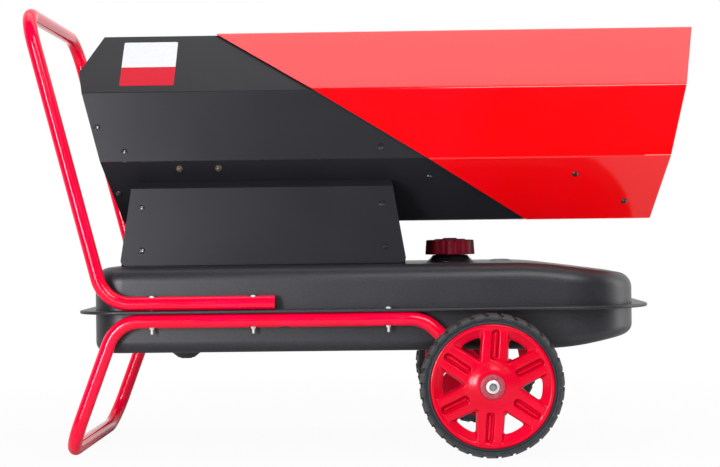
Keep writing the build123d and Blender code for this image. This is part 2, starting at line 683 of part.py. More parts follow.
# ---------------------------------------------------------------- faces of the duct and the screws
DUCT_CORNERS = [
    (DUCT_TOP_HALF, DUCT_HALF),
    (DUCT_HALF, DUCT_SIDE_HALF),
    (DUCT_HALF, -DUCT_SIDE_HALF),
    (DUCT_TOP_HALF, -DUCT_HALF),
    (-DUCT_TOP_HALF, -DUCT_HALF),
    (-DUCT_HALF, -DUCT_SIDE_HALF),
    (-DUCT_HALF, DUCT_SIDE_HALF),
    (-DUCT_TOP_HALF, DUCT_HALF),
]
slant_y = DUCT_HALF - DUCT_TOP_HALF
slant_z = DUCT_HALF - DUCT_SIDE_HALF
slant_length = hypot(slant_y, slant_z)
SLANT_NORMAL = (slant_z / slant_length, slant_y / slant_length)  # outwards, and up or down


def side_plane(x, z, side, distance=DUCT_HALF):
    """Plane on a vertical side face, its z axis pointing outwards."""
    return Plane(origin=(x, side * distance, z), x_dir=(1, 0, 0), z_dir=(0, side, 0))


def slant_plane(x, z, side, up=-1, step=0.0):
    """Plane on a slanted face at this height, its z axis pointing outwards."""
    height = abs(z - DUCT_Z)
    y = DUCT_TOP_HALF + (DUCT_HALF - height) * slant_y / slant_z + step / SLANT_NORMAL[0]
    normal = (0, side * SLANT_NORMAL[0], up * SLANT_NORMAL[1])
    return Plane(origin=(x, side * y, z), x_dir=(1, 0, 0), z_dir=normal)


casing_side_screws = [
    side_plane(x, z, side) for x, z in ((-476, 584), (-428, 540), (31, 544)) for side in (-1, 1)
]
casing_slant_screws = [
    slant_plane(x, z, side) for x, z in ((-445, 467), (117, 489)) for side in (-1, 1)
]
hood_screws = [
    slant_plane(x, z, side, step=HOOD_STEP)
    for x, z in ((378, 491), (470, 442))
    for side in (-1, 1)
]
motor_screws = [
    slant_plane(x, 509, side) for x in (-330, -260) for side in (-1, 1)
]
BOX_SCREWS = ((-397, 439), (-397, 363), (31, 442.5), (37, 367))
box_screws = {
    side: [side_plane(x, z, side, BOX_HALF_WIDTH) for x, z in BOX_SCREWS] for side in (-1, 1)
}

PAN_R = 5.6
with BuildPart() as panel_screws:
    all_screws = [*casing_side_screws, *casing_slant_screws, *hood_screws]
    with Locations(*all_screws, *box_screws[-1], *box_screws[1]):
        Cylinder(SCREW_R, 8, align=(Align.CENTER, Align.CENTER, Align.MAX))
        Cylinder(PAN_R, 1.2, align=(Align.CENTER, Align.CENTER, Align.MIN))
    with Locations(*[plane.offset(1.2) for plane in all_screws + box_screws[-1] + box_screws[1]]):
        Cone(PAN_R, 3.2, 1.6, align=(Align.CENTER, Align.CENTER, Align.MIN))
        Box(1.2, 5.5, 3.2, mode=Mode.SUBTRACT)
        Box(5.5, 1.2, 3.2, mode=Mode.SUBTRACT)
save(panel_screws, "panel_screws")

with BuildPart() as motor_mount_screws:
    with Locations(*motor_screws):
        Cylinder(SCREW_R, 8, align=(Align.CENTER, Align.CENTER, Align.MAX))
        Cylinder(6.5, 1.0, align=(Align.CENTER, Align.CENTER, Align.MIN))
    for plane in motor_screws:
        with BuildSketch(plane.offset(1.0)):
            RegularPolygon(4.5, 6, major_radius=False)
        extrude(amount=3.5)
save(motor_mount_screws, "motor_mount_screws")

# ---------------------------------------------------------------- casing and hood
# Folded sheet shells. The rear is cut parallel to the handle, the mouth leans forward at the top, and
# the red hood's edge runs down across the black casing, which it overlaps.
REAR_CUT = ((-443.0, 411.5), (-501.6, 640.5))
REAR_TOP_CUT = ((-514.4, 684.0), (-478.6, 750.5))
FRONT_CUT = ((520.0, 411.0), (HALF_LENGTH, 759.5))
COLOUR_LINE = ((-267.0, 757.0), (294.0, 411.0))
LAP = 14.0
FRONT_PAST = 700.0
REAR_PAST = -700.0


def cut_plane(points, forward):
    """Plane through two points of the side view, its normal pointing forwards or rearwards."""
    (x1, z1), (x2, z2) = points
    normal = (z2 - z1, 0, x1 - x2)
    facing = 1 if normal[0] * forward > 0 else -1
    return Plane(origin=(x1, 0, z1), z_dir=[facing * n for n in normal])


rear_plane = cut_plane(REAR_CUT, 1)
rear_top_plane = cut_plane(REAR_TOP_CUT, 1)
front_plane = cut_plane(FRONT_CUT, -1)
colour_plane = cut_plane(COLOUR_LINE, 1)


def duct_outline(inset):
    """The duct's cross-section, with its corners rounded, moved in by inset."""
    with BuildSketch(mode=Mode.PRIVATE) as outline:
        with Locations((0, DUCT_Z)):
            Polygon(*DUCT_CORNERS, align=None)
        fillet(outline.vertices(), FOLD_R)
    with BuildSketch(mode=Mode.PRIVATE) as moved:
        offset(outline.sketch, amount=-inset, kind=Kind.INTERSECTION)
    return moved.sketch if inset else outline.sketch


def duct_block(inset, floor_inset=None):
    """A solid bar of the duct's section, its floor moved in by its own inset where one is given."""
    with BuildPart(mode=Mode.PRIVATE) as block:
        with BuildSketch(Plane.YZ.offset(REAR_PAST)):
            add(duct_outline(inset))
            if floor_inset is not None:
                with Locations((0, DUCT_Z - DUCT_HALF + floor_inset)):
                    Rectangle(
                        3 * DUCT_HALF, 3 * DUCT_HALF, align=(Align.CENTER, Align.MIN),
                        mode=Mode.INTERSECT,
                    )
        extrude(amount=FRONT_PAST - REAR_PAST)
    return block.part


def duct_shell(inset, floor_inset, planes, upper):
    """A folded sheet, cut by the planes, above or below the fold of the side faces."""
    fold_z = DUCT_Z - DUCT_SIDE_HALF
    with BuildPart(mode=Mode.PRIVATE) as shell:
        add(duct_block(inset, floor_inset))
        add(duct_block(inset + SHEET, floor_inset + SHEET), mode=Mode.SUBTRACT)
        for plane in planes:
            split(bisect_by=plane, keep=Keep.TOP)
        if upper:
            split(bisect_by=Plane.XY.offset(fold_z + SEAM_GAP / 2), keep=Keep.TOP)
        else:
            split(bisect_by=Plane.XY.offset(fold_z - SEAM_GAP / 2), keep=Keep.BOTTOM)
    return shell.part


lap_plane = Plane(origin=colour_plane.origin, z_dir=-colour_plane.z_dir).offset(-LAP)
black_planes = (rear_plane, rear_top_plane, lap_plane)
red_planes = (colour_plane, front_plane)
casing_upper_sheet = duct_shell(0, 0, black_planes, True)
casing_lower_sheet = duct_shell(0, 0, black_planes, False)
hood_upper_sheet = duct_shell(-HOOD_STEP, -HOOD_FLOOR_STEP, red_planes, True)
hood_lower_sheet = duct_shell(-HOOD_STEP, -HOOD_FLOOR_STEP, red_planes, False)

with BuildPart() as casing_upper:
    add(casing_upper_sheet)
    with Locations(*casing_side_screws):
        Cylinder(SCREW_R + 0.1, 8, mode=Mode.SUBTRACT)
save(casing_upper, "casing_upper")

LINE_HOLE_R = 8.0
with BuildPart() as casing_lower:
    add(casing_lower_sheet)
    with Locations(*casing_slant_screws, *motor_screws):
        Cylinder(SCREW_R + 0.1, 8, mode=Mode.SUBTRACT)
    with Locations((*PICKUP, DUCT_Z - DUCT_HALF)):
        Cylinder(LINE_HOLE_R, 8, mode=Mode.SUBTRACT)
save(casing_lower, "casing_lower")

with BuildPart() as hood_upper:
    add(hood_upper_sheet)
save(hood_upper, "hood_upper")

with BuildPart() as hood_lower:
    add(hood_lower_sheet)
    with Locations(*hood_screws):
        Cylinder(SCREW_R + 0.1, 8, mode=Mode.SUBTRACT)
save(hood_lower, "hood_lower")

LABEL_WIDTH = 98.0
LABEL_HEIGHT = 112.0
with BuildPart() as label_plate:
    with BuildSketch(slant_plane(-388, 701, -1, up=1)):
        RectangleRounded(LABEL_WIDTH, LABEL_HEIGHT, 3)
    extrude(amount=0.4)
save(label_plate, "label_plate")

# ---------------------------------------------------------------- fan, motor and burner
GUARD_SETBACK = 1.0
GUARD_OPENING_R = 146.0
SLOT_LENGTH = 46.0
SLOT_WIDTH = 8.0
SLOT_COLUMNS = 6
SLOT_ROWS = 22
SLOT_BAR = 8.0  # sheet left between two slots, end to end
SLOT_RUNG = 6.0  # and side by side


def inside_from_rear(setback):
    """The inside of the duct, from this far in front of the casing's rear edge."""
    with BuildPart(mode=Mode.PRIVATE) as inside:
        add(duct_block(SHEET))
        split(bisect_by=rear_plane.offset(setback), keep=Keep.TOP)
        split(bisect_by=rear_top_plane.offset(setback), keep=Keep.TOP)
    return inside.part


guard_rear = inside_from_rear(GUARD_SETBACK)
guard_front = inside_from_rear(GUARD_SETBACK + SHEET)
(cut_x1, cut_z1), (cut_x2, cut_z2) = REAR_CUT
guard_x = cut_x1 + (cut_x2 - cut_x1) * (DUCT_Z - cut_z1) / (cut_z2 - cut_z1)
guard_plane = Plane(origin=(guard_x, 0, DUCT_Z), x_dir=(0, 1, 0), z_dir=rear_plane.z_dir)
with BuildPart() as fan_guard:
    add(guard_rear)
    add(guard_front, mode=Mode.SUBTRACT)
    with BuildSketch(guard_plane):
        with GridLocations(
            SLOT_LENGTH + SLOT_BAR, SLOT_WIDTH + SLOT_RUNG, SLOT_COLUMNS, SLOT_ROWS
        ):
            SlotOverall(SLOT_LENGTH, SLOT_WIDTH)
        Circle(GUARD_OPENING_R, mode=Mode.INTERSECT)
    extrude(amount=8, both=True, mode=Mode.SUBTRACT)
save(fan_guard, "fan_guard")

SHROUD_X = -384.0
SHROUD_DEPTH = 24.0
FAN_R = 148.0
SHROUD_R = FAN_R + 5.0
with BuildPart() as fan_shroud:
    with BuildSketch(Plane.YZ.offset(SHROUD_X)):
        add(duct_outline(SHEET))
        with Locations((0, DUCT_Z)):
            Circle(SHROUD_R, mode=Mode.SUBTRACT)
    extrude(amount=SHEET)
    with BuildSketch(Plane.YZ.offset(SHROUD_X)):
        with Locations((0, DUCT_Z)):
            Circle(SHROUD_R + SHEET)
            Circle(SHROUD_R, mode=Mode.SUBTRACT)
    extrude(amount=SHROUD_DEPTH)
save(fan_shroud, "fan_shroud")

FAN_BLADES = 5
BLADE_PITCH = 28.0  # degrees
BLADE_OUTLINE = ((-24, 22), (24, 22), (52, 165), (-44, 165))  # cut to FAN_R
FAN_HUB_R = 30.0
SHAFT_R = 7.0
SHAFT_SOCKET = 21.0
HUB_HALF = 20.0
SHAFT_OVERRUN = 6.0  # past the fan's hub
MOTOR_BACK = -355.0
MOTOR_FRONT = -190.0
MOTOR_R = 62.0
CAPACITOR = (70.0, 44.0, 24.0)  # its box on top of the motor
duct_axis = Axis((0, 0, DUCT_Z), (1, 0, 0))
with BuildPart() as fan:
    for blade in range(FAN_BLADES):
        turn = radians(360 * blade / FAN_BLADES)
        radial = Vector(0, sin(turn), cos(turn))
        tangent = Vector(0, cos(turn), -sin(turn))
        chord = Vector(1, 0, 0) * sin(radians(BLADE_PITCH)) + tangent * cos(radians(BLADE_PITCH))
        blade_plane = Plane(origin=(FAN_X, 0, DUCT_Z), x_dir=chord, z_dir=chord.cross(radial))
        with BuildSketch(blade_plane):
            Polygon(*BLADE_OUTLINE, align=None)
        extrude(amount=1.0, both=True)
    with BuildSketch(Plane.YZ.offset(FAN_X - HUB_HALF)):
        with Locations((0, DUCT_Z)):
            Circle(FAN_HUB_R)
    extrude(amount=2 * HUB_HALF)
    with BuildSketch(Plane.YZ.offset(FAN_X - 60)):
        with Locations((0, DUCT_Z)):
            Circle(FAN_R)
            Circle(SHAFT_R + 0.02, mode=Mode.SUBTRACT)
    extrude(amount=120, mode=Mode.INTERSECT)
save(fan, "fan")

with BuildPart() as motor_shaft:
    with BuildSketch(Plane.YZ.offset(FAN_X - HUB_HALF - SHAFT_OVERRUN)):
        with Locations((0, DUCT_Z)):
            Circle(SHAFT_R)
    extrude(amount=MOTOR_BACK + SHAFT_SOCKET - 1 - FAN_X + HUB_HALF + SHAFT_OVERRUN)
save(motor_shaft, "motor_shaft")

with BuildPart() as motor:
    with BuildSketch(Plane.XZ):
        with BuildLine():
            Polyline(
                (MOTOR_BACK, DUCT_Z),
                (MOTOR_BACK, DUCT_Z + 24),
                (MOTOR_BACK + 8, DUCT_Z + 48),
                (MOTOR_BACK + 22, DUCT_Z + MOTOR_R - 4),
                (MOTOR_BACK + 22, DUCT_Z + MOTOR_R),
                (MOTOR_FRONT - 12, DUCT_Z + MOTOR_R),
                (MOTOR_FRONT - 12, DUCT_Z + MOTOR_R - 6),
                (MOTOR_FRONT, DUCT_Z + 50),
                (MOTOR_FRONT, DUCT_Z),
                close=True,
            )
        make_face()
    revolve(axis=duct_axis)
    with Locations((MOTOR_BACK + 80, 0, DUCT_Z + MOTOR_R)):
        Box(*CAPACITOR)
    with BuildSketch(Plane.YZ.offset(MOTOR_BACK)):
        with Locations((0, DUCT_Z)):
            Circle(SHAFT_R + 0.05)
    extrude(amount=SHAFT_SOCKET, mode=Mode.SUBTRACT)
save(motor, "motor")

BRACKET_LENGTH = 70.0
BRACKET_FOOT = 70.0  # half the width at the floor
BRACKET_HALF = 58.0
floor_z = DUCT_Z - DUCT_HALF + SHEET
with BuildPart() as motor_bracket:
    with BuildSketch(Plane.YZ.offset(MOTOR_BACK + 40)):
        with BuildLine():
            Polyline(
                (-BRACKET_FOOT, floor_z),
                (BRACKET_FOOT, floor_z),
                (BRACKET_FOOT, floor_z + 4),
                (BRACKET_HALF, floor_z + 8),
                (BRACKET_HALF, DUCT_Z - MOTOR_R / 2),
                (-BRACKET_HALF, DUCT_Z - MOTOR_R / 2),
                (-BRACKET_HALF, floor_z + 8),
                (-BRACKET_FOOT, floor_z + 4),
                close=True,
            )
        make_face()
        with BuildLine():
            Polyline(
                (12 - BRACKET_HALF, floor_z + 4),
                (BRACKET_HALF - 12, floor_z + 4),
                (BRACKET_HALF - 12, DUCT_Z - MOTOR_R - 10),
                (12 - BRACKET_HALF, DUCT_Z - MOTOR_R - 10),
                close=True,
            )
        make_face(mode=Mode.SUBTRACT)
        with Locations((0, DUCT_Z)):
            Circle(MOTOR_R + 0.1, mode=Mode.SUBTRACT)
    extrude(amount=BRACKET_LENGTH)
save(motor_bracket, "motor_bracket")

PUMP_R = 55.0
PUMP_LENGTH = 34.0
with BuildPart() as air_pump:
    with BuildSketch(Plane.YZ.offset(MOTOR_FRONT)):
        with Locations((0, DUCT_Z)):
            Circle(PUMP_R)
    extrude(amount=PUMP_LENGTH)
    chamfer(air_pump.faces().sort_by(Axis.X)[-1].edges(), 4)
    with BuildSketch(Plane.YZ.offset(MOTOR_FRONT + PUMP_LENGTH)):
        with Locations((0, DUCT_Z)):
            with PolarLocations(44, 6):
                RegularPolygon(4, 6)
    extrude(amount=4)
save(air_pump, "air_pump")

CHAMBER_R = 128.0
CHAMBER_BACK = -20.0
CHAMBER_FRONT = 500.0
HEAD_BACK = -62.0
HEAD_R = 60.0
HEAD_SHEET = 1.5
IGNITER_Y = 22.0  # the two electrodes, one above the other
IGNITER_HALF_GAP = 6.0
SENSOR = (-34.0, DUCT_Z + 26.0)
igniter_gap = (IGNITER_HALF_GAP, -IGNITER_HALF_GAP)
with BuildPart() as burner_head:
    with BuildSketch(Plane.YZ.offset(HEAD_BACK)):
        with Locations((0, DUCT_Z)):
            Circle(HEAD_R)
            Circle(10, mode=Mode.SUBTRACT)
            with PolarLocations(36, 8):
                SlotOverall(22, 5, mode=Mode.SUBTRACT)
        with Locations(*[(IGNITER_Y, DUCT_Z + z) for z in igniter_gap], SENSOR):
            Circle(5.6, mode=Mode.SUBTRACT)
    extrude(amount=2)
    with BuildSketch(Plane.YZ.offset(HEAD_BACK)):
        with Locations((0, DUCT_Z)):
            Circle(HEAD_R)
            Circle(HEAD_R - HEAD_SHEET, mode=Mode.SUBTRACT)
    extrude(amount=CHAMBER_BACK + 10 - HEAD_BACK)
save(burner_head, "burner_head")

NOZZLE_LENGTH = 34.0
with BuildPart() as nozzle:
    with Locations((PICKUP[0], 0, DUCT_Z)):
        Box(2 * NOZZLE_BLOCK, 2 * NOZZLE_BLOCK, 2 * NOZZLE_BLOCK)
    with BuildSketch(Plane.YZ.offset(PICKUP[0] + NOZZLE_BLOCK)):
        with Locations((0, DUCT_Z)):
            Circle(7)
    extrude(amount=NOZZLE_LENGTH)
    with BuildSketch(Plane.YZ.offset(PICKUP[0] + NOZZLE_BLOCK + NOZZLE_LENGTH)):
        with Locations((0, DUCT_Z)):
            Circle(7)
    extrude(amount=6, taper=35)
save(nozzle, "nozzle")

with BuildPart() as electrodes:
    for z in igniter_gap:
        with BuildSketch(Plane.YZ.offset(HEAD_BACK - 20)):
            with Locations((IGNITER_Y, DUCT_Z + z)):
                Circle(5)
        extrude(amount=34)
        with BuildSketch(Plane.YZ.offset(HEAD_BACK - 26)):
            with Locations((IGNITER_Y, DUCT_Z + z)):
                Circle(1.2)
        extrude(amount=58)
save(electrodes, "electrodes")

with BuildPart() as photocell:
    with BuildSketch(Plane.YZ.offset(HEAD_BACK - 22)):
        with Locations(SENSOR):
            Circle(8)
    extrude(amount=22)
    with BuildSketch(Plane.YZ.offset(HEAD_BACK)):
        with Locations(SENSOR):
            Circle(5.4)
    extrude(amount=6)
save(photocell, "photocell")

with BuildPart() as combustion_chamber:
    with BuildSketch(Plane.YZ.offset(CHAMBER_BACK)):
        with Locations((0, DUCT_Z)):
            Circle(CHAMBER_R)
            Circle(HEAD_R + 0.2, mode=Mode.SUBTRACT)
    extrude(amount=SHEET)
    with BuildSketch(Plane.YZ.offset(CHAMBER_BACK)):
        with Locations((0, DUCT_Z)):
            Circle(CHAMBER_R)
            Circle(CHAMBER_R - SHEET, mode=Mode.SUBTRACT)
    extrude(amount=CHAMBER_FRONT - CHAMBER_BACK)
save(combustion_chamber, "combustion_chamber")

BRACKET_WIDTH = 30.0
bracket_walls = ((40.0, 0.0, 0.0), (440.0, HOOD_STEP, HOOD_FLOOR_STEP))
with BuildPart() as chamber_brackets:
    for x, step, floor_step in bracket_walls:
        for turn in range(4):
            wall = DUCT_HALF - SHEET + (floor_step if turn == 2 else step)
            outward = Vector(0, sin(radians(90 * turn)), cos(radians(90 * turn)))
            foot = Vector(x, 0, DUCT_Z) + outward * CHAMBER_R
            with BuildSketch(Plane(origin=foot, x_dir=(1, 0, 0), z_dir=outward)):
                Rectangle(2.0, BRACKET_WIDTH)
            extrude(amount=wall - CHAMBER_R)
save(chamber_brackets, "chamber_brackets")

BAFFLE_DISC_R = 72.0
BAFFLE_ARM = 12.0
with BuildPart() as chamber_baffle:
    with BuildSketch(Plane.YZ.offset(CHAMBER_FRONT)):
        with Locations((0, DUCT_Z)):
            Circle(CHAMBER_R)
            Circle(CHAMBER_R - 8, mode=Mode.SUBTRACT)
            Circle(BAFFLE_DISC_R)
            Rectangle(2 * CHAMBER_R - 8, BAFFLE_ARM)
            Rectangle(BAFFLE_ARM, 2 * CHAMBER_R - 8)
    extrude(amount=2)
save(chamber_baffle, "chamber_baffle")

# ---------------------------------------------------------------- control box
BOX_FOOT_X = (-437.0, 75.0)
BOX_HEAD_X = (-412.5, 49.0)
BOX_CORNER_R = 9.0
END_INSET = 2.0
BASE_Z = TANK_TOP  # the tray lies on the tank
box_clearance = duct_block(-0.1)
BAND_TOP_Y = 143.0  # the panel's folded-in band ends here, just clear of the duct
band = Vector(BOX_HALF_WIDTH - BAND_TOP_Y, BOX_TOP_Z - BOX_FOLD_Z).normalized()


def box_outline(bottom, top):
    """Corners of the leaning box, seen from the side, between two heights."""
    corners = []
    for z, order in ((bottom, (0, 1)), (top, (1, 0))):
        share = (z - BOX_BOTTOM) / (BOX_TOP_Z - BOX_BOTTOM)
        for end in order:
            corners.append((BOX_FOOT_X[end] + share * (BOX_HEAD_X[end] - BOX_FOOT_X[end]), z))
    return corners


def tray_form(inset):
    """The tray seen from the side, moved in by inset, taller than the box so that it is cut to it."""
    with BuildSketch(mode=Mode.PRIVATE) as form:
        Polygon(*box_outline(BASE_Z, BOX_TOP_Z + 15), align=None)
    with BuildSketch(mode=Mode.PRIVATE) as moved:
        offset(form.sketch, amount=-inset, kind=Kind.INTERSECTION)
    return moved.sketch


def band_profile(side):
    """Section of a side panel: upright, then folded in towards the duct."""
    inner = BOX_HALF_WIDTH - PANEL_SHEET
    return [
        (side * BOX_HALF_WIDTH, BOX_BOTTOM),
        (side * BOX_HALF_WIDTH, BOX_FOLD_Z),
        (side * BAND_TOP_Y, BOX_TOP_Z),
        (side * (BAND_TOP_Y - PANEL_SHEET * band.Y), BOX_TOP_Z - PANEL_SHEET * band.X),
        (side * inner, BOX_FOLD_Z - PANEL_SHEET * (1 - band.Y) / band.X),
        (side * inner, BOX_BOTTOM),
    ]


with BuildPart() as box_base:
    with BuildSketch(Plane.XZ):
        with Locations((0, -END_INSET)):
            add(tray_form(END_INSET))
            add(tray_form(END_INSET + SHEET), mode=Mode.SUBTRACT)
    extrude(amount=BOX_HALF_WIDTH - 3, both=True)
    add(box_clearance, mode=Mode.SUBTRACT)
    for side in (-1, 1):
        _, _, _, top_inside, fold_inside, _ = band_profile(side)
        above = BOX_TOP_Z + 60
        with BuildSketch(Plane.YZ.offset(REAR_PAST)):
            Polygon(
                (top_inside[0], above),
                top_inside,
                fold_inside,
                (side * (BOX_HALF_WIDTH + 5), fold_inside[1]),
                (side * (BOX_HALF_WIDTH + 5), above),
                align=None,
            )
        extrude(amount=FRONT_PAST - REAR_PAST, mode=Mode.SUBTRACT)
    with Locations((*PICKUP, BASE_Z)):
        Cylinder(14, 12, mode=Mode.SUBTRACT)
save(box_base, "box_base")


def box_panel(side):
    """A side panel of the box, folded in at its top."""
    with BuildPart(mode=Mode.PRIVATE) as panel:
        with BuildSketch(Plane.YZ.offset(REAR_PAST)):
            Polygon(*band_profile(side), align=None)
        extrude(amount=FRONT_PAST - REAR_PAST)
        with BuildSketch(Plane.XZ) as side_view:
            Polygon(*box_outline(BOX_BOTTOM, BOX_TOP_Z), align=None)
            fillet(side_view.vertices(), BOX_CORNER_R)
        extrude(amount=BOX_HALF_WIDTH + 5, both=True, mode=Mode.INTERSECT)
        with Locations(*box_screws[side]):
            Cylinder(SCREW_R + 0.1, 8, mode=Mode.SUBTRACT)
    return panel.part


plain_panel = box_panel(-1)
with BuildPart() as box_panel_right:
    add(plain_panel)
save(box_panel_right, "box_panel_right")

# Controls, on the left panel: plate, rocker, reset button, lamp, thermostat knob and cord gland.
CONTROL_Z = 410.0
ROCKER_X = -160.0
RESET_X = -112.0
LAMP_X = -78.0
KNOB_X = -35.0
GLAND = (-300.0, 372.0)
PLATE = 3.0
PLATE_CENTRE_X = -97.0
PLATE_SIZE = (186.0, 80.0)
ROCKER_HALF_WIDTH = 10.0
ROCKER_R = 13.0
ROCKER_REST = -8.0  # degrees, in the off position
RESET_R = 6.0
LAMP_R = 5.0
KNOB_R = 17.0
GLAND_R = 8.0
GLAND_BORE_R = 4.2
KNOB_SHAFT_R = 3.0
plate_face = BOX_HALF_WIDTH + PLATE
control_holes = (
    (RESET_X, RESET_R + 0.3),
    (LAMP_X, LAMP_R + 0.1),
    (KNOB_X, KNOB_SHAFT_R + 0.3),
)


def left_plane(x, z, distance):
    """Plane parallel to the left panel, seen from outside, its z axis pointing out (+Y)."""
    return Plane(origin=(x, distance, z), x_dir=(-1, 0, 0), z_dir=(0, 1, 0))


left_sheet = box_panel(1)
with BuildPart() as box_panel_left:
    add(left_sheet)
    with BuildSketch(left_plane(0, 0, BOX_HALF_WIDTH + 5)):
        with Locations((-ROCKER_X, CONTROL_Z)):
            Rectangle(2 * ROCKER_HALF_WIDTH + 1, 2 * ROCKER_R + 1)
        for x, radius in control_holes:
            with Locations((-x, CONTROL_Z)):
                Circle(radius + 0.5)
        with Locations((-GLAND[0], GLAND[1])):
            Circle(GLAND_R + 0.2)
    extrude(amount=-12, mode=Mode.SUBTRACT)
save(box_panel_left, "box_panel_left")

with BuildPart() as control_plate:
    with BuildSketch(left_plane(0, 0, BOX_HALF_WIDTH)):
        with Locations((-PLATE_CENTRE_X, CONTROL_Z)):
            RectangleRounded(*PLATE_SIZE, 8)
        with Locations((-ROCKER_X, CONTROL_Z)):
            Rectangle(2 * ROCKER_HALF_WIDTH + 0.6, 2 * ROCKER_R + 0.6, mode=Mode.SUBTRACT)
        for x, radius in control_holes:
            with Locations((-x, CONTROL_Z)):
                Circle(radius, mode=Mode.SUBTRACT)
    extrude(amount=PLATE)
    chamfer(control_plate.faces().sort_by(Axis.Y)[-1].outer_wire().edges(), 1)
save(control_plate, "control_plate")

rocker_plane = Plane(
    origin=(ROCKER_X - ROCKER_HALF_WIDTH, plate_face - 1, CONTROL_Z),
    x_dir=(0, sin(radians(-ROCKER_REST)), cos(radians(-ROCKER_REST))),
    z_dir=(1, 0, 0),
)
with BuildPart() as power_rocker:
    with BuildSketch(rocker_plane):
        Circle(ROCKER_R)
        Polygon(
            (-2 * ROCKER_R, -5.0), (0, -2.5), (2 * ROCKER_R, -5.0), (0, -3 * ROCKER_R),
            align=None, mode=Mode.SUBTRACT,
        )
        with Locations((0, 8)):
            Rectangle(4 * ROCKER_R, ROCKER_R, align=(Align.CENTER, Align.MIN), mode=Mode.SUBTRACT)
    extrude(amount=2 * ROCKER_HALF_WIDTH)
save(power_rocker, "power_rocker")

with BuildPart() as reset_button:
    with BuildSketch(left_plane(RESET_X, CONTROL_Z, BOX_HALF_WIDTH - 4)):
        Circle(RESET_R)
    extrude(amount=PLATE + 9)
    fillet(reset_button.edges().sort_by(Axis.Y)[-1], 1.2)
save(reset_button, "reset_button")

with BuildPart() as indicator_lens:
    with BuildSketch(left_plane(LAMP_X, CONTROL_Z, BOX_HALF_WIDTH - 2)):
        Circle(LAMP_R)
    extrude(amount=PLATE + 4)
    fillet(indicator_lens.edges().sort_by(Axis.Y)[-1], 1.8)
save(indicator_lens, "indicator_lens")

with BuildPart() as thermostat_knob:
    with BuildSketch(left_plane(KNOB_X, CONTROL_Z, plate_face + 0.4)):
        Circle(KNOB_R)
    extrude(amount=6)
    with BuildSketch(left_plane(KNOB_X, CONTROL_Z, plate_face + 6.4)):
        Circle(KNOB_R - 3)
    extrude(amount=10, taper=4)
    with BuildSketch(left_plane(KNOB_X, CONTROL_Z, plate_face + 16.4)):
        with Locations((0, 8)):
            Rectangle(1.6, 9)
    extrude(amount=-1.0, mode=Mode.SUBTRACT)
    with BuildSketch(left_plane(KNOB_X, CONTROL_Z, plate_face + 0.4)):
        Circle(KNOB_SHAFT_R)
    extrude(amount=-14)
save(thermostat_knob, "thermostat_knob")

with BuildPart() as cord_gland:
    with BuildSketch(left_plane(*GLAND, BOX_HALF_WIDTH - 6)):
        Circle(GLAND_R)
    extrude(amount=6)
    with BuildSketch(left_plane(*GLAND, BOX_HALF_WIDTH)):
        RegularPolygon(11, 6, major_radius=False)
    extrude(amount=7)
    with BuildSketch(left_plane(*GLAND, BOX_HALF_WIDTH + 7)):
        Circle(9.5)
    extrude(amount=11)
    fillet(cord_gland.edges().sort_by(Axis.Y)[-1], 2.5)
    with BuildSketch(left_plane(*GLAND, BOX_HALF_WIDTH + 30)):
        Circle(GLAND_BORE_R)
    extrude(amount=-50, mode=Mode.SUBTRACT)
save(cord_gland, "cord_gland")

TRANSFORMER_AT = (-290.0, -50.0)
TRANSFORMER = (90.0, 64.0, 52.0)
TERMINAL_GAP = 32.0
with BuildPart() as ignition_transformer:
    with Locations((*TRANSFORMER_AT, BASE_Z + SHEET)):
        Box(*TRANSFORMER, align=(Align.CENTER, Align.CENTER, Align.MIN))
    fillet(ignition_transformer.edges().filter_by(Axis.Z), 5)
    terminal_x, middle_y = TRANSFORMER_AT
    for y in (middle_y - TERMINAL_GAP / 2, middle_y + TERMINAL_GAP / 2):
        with Locations((terminal_x, y, BASE_Z + SHEET + TRANSFORMER[2])):
            Cylinder(6, 10, align=(Align.CENTER, Align.CENTER, Align.MIN))
save(ignition_transformer, "ignition_transformer")

BOARD_AT = (-200.0, 40.0)
BOARD = (136.0, 76.0, 1.6)
POST_HEIGHT = 8.0
board_top = POST_HEIGHT + BOARD[2]
with BuildPart() as control_board:
    with Locations((*BOARD_AT, BASE_Z + SHEET)):
        for x in (-60, 60):
            for y in (-30, 30):
                with Locations((x, y, 0)):
                    Cylinder(3, POST_HEIGHT, align=(Align.CENTER, Align.CENTER, Align.MIN))
        with Locations((0, 0, POST_HEIGHT)):
            Box(*BOARD, align=(Align.CENTER, Align.CENTER, Align.MIN))
        with Locations(*[(x, 12, board_top) for x in (-40, -12, 20)]):
            Box(20, 28, 16, align=(Align.CENTER, Align.CENTER, Align.MIN))
        with Locations((48, -10, board_top)):
            Cylinder(9, 24, align=(Align.CENTER, Align.CENTER, Align.MIN))
        with Locations((-20, -26, board_top)):
            Box(70, 12, 11, align=(Align.CENTER, Align.CENTER, Align.MIN))
save(control_board, "control_board")
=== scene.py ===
import bmesh
import bpy
from math import cos, pi, radians, sin
from mathutils import Matrix, Vector


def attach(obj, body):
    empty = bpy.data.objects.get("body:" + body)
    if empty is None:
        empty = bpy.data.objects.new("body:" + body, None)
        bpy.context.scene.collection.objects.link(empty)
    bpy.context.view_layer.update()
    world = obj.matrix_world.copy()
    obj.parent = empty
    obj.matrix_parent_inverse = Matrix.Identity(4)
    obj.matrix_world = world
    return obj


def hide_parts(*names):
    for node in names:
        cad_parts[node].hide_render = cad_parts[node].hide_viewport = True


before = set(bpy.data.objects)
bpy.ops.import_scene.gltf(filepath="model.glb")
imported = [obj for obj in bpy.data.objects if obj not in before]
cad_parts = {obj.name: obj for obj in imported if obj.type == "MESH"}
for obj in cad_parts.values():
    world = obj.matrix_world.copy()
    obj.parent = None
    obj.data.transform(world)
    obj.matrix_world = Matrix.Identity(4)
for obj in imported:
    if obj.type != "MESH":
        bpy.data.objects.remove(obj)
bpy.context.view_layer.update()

MM = 0.001  # a millimetre, in metres

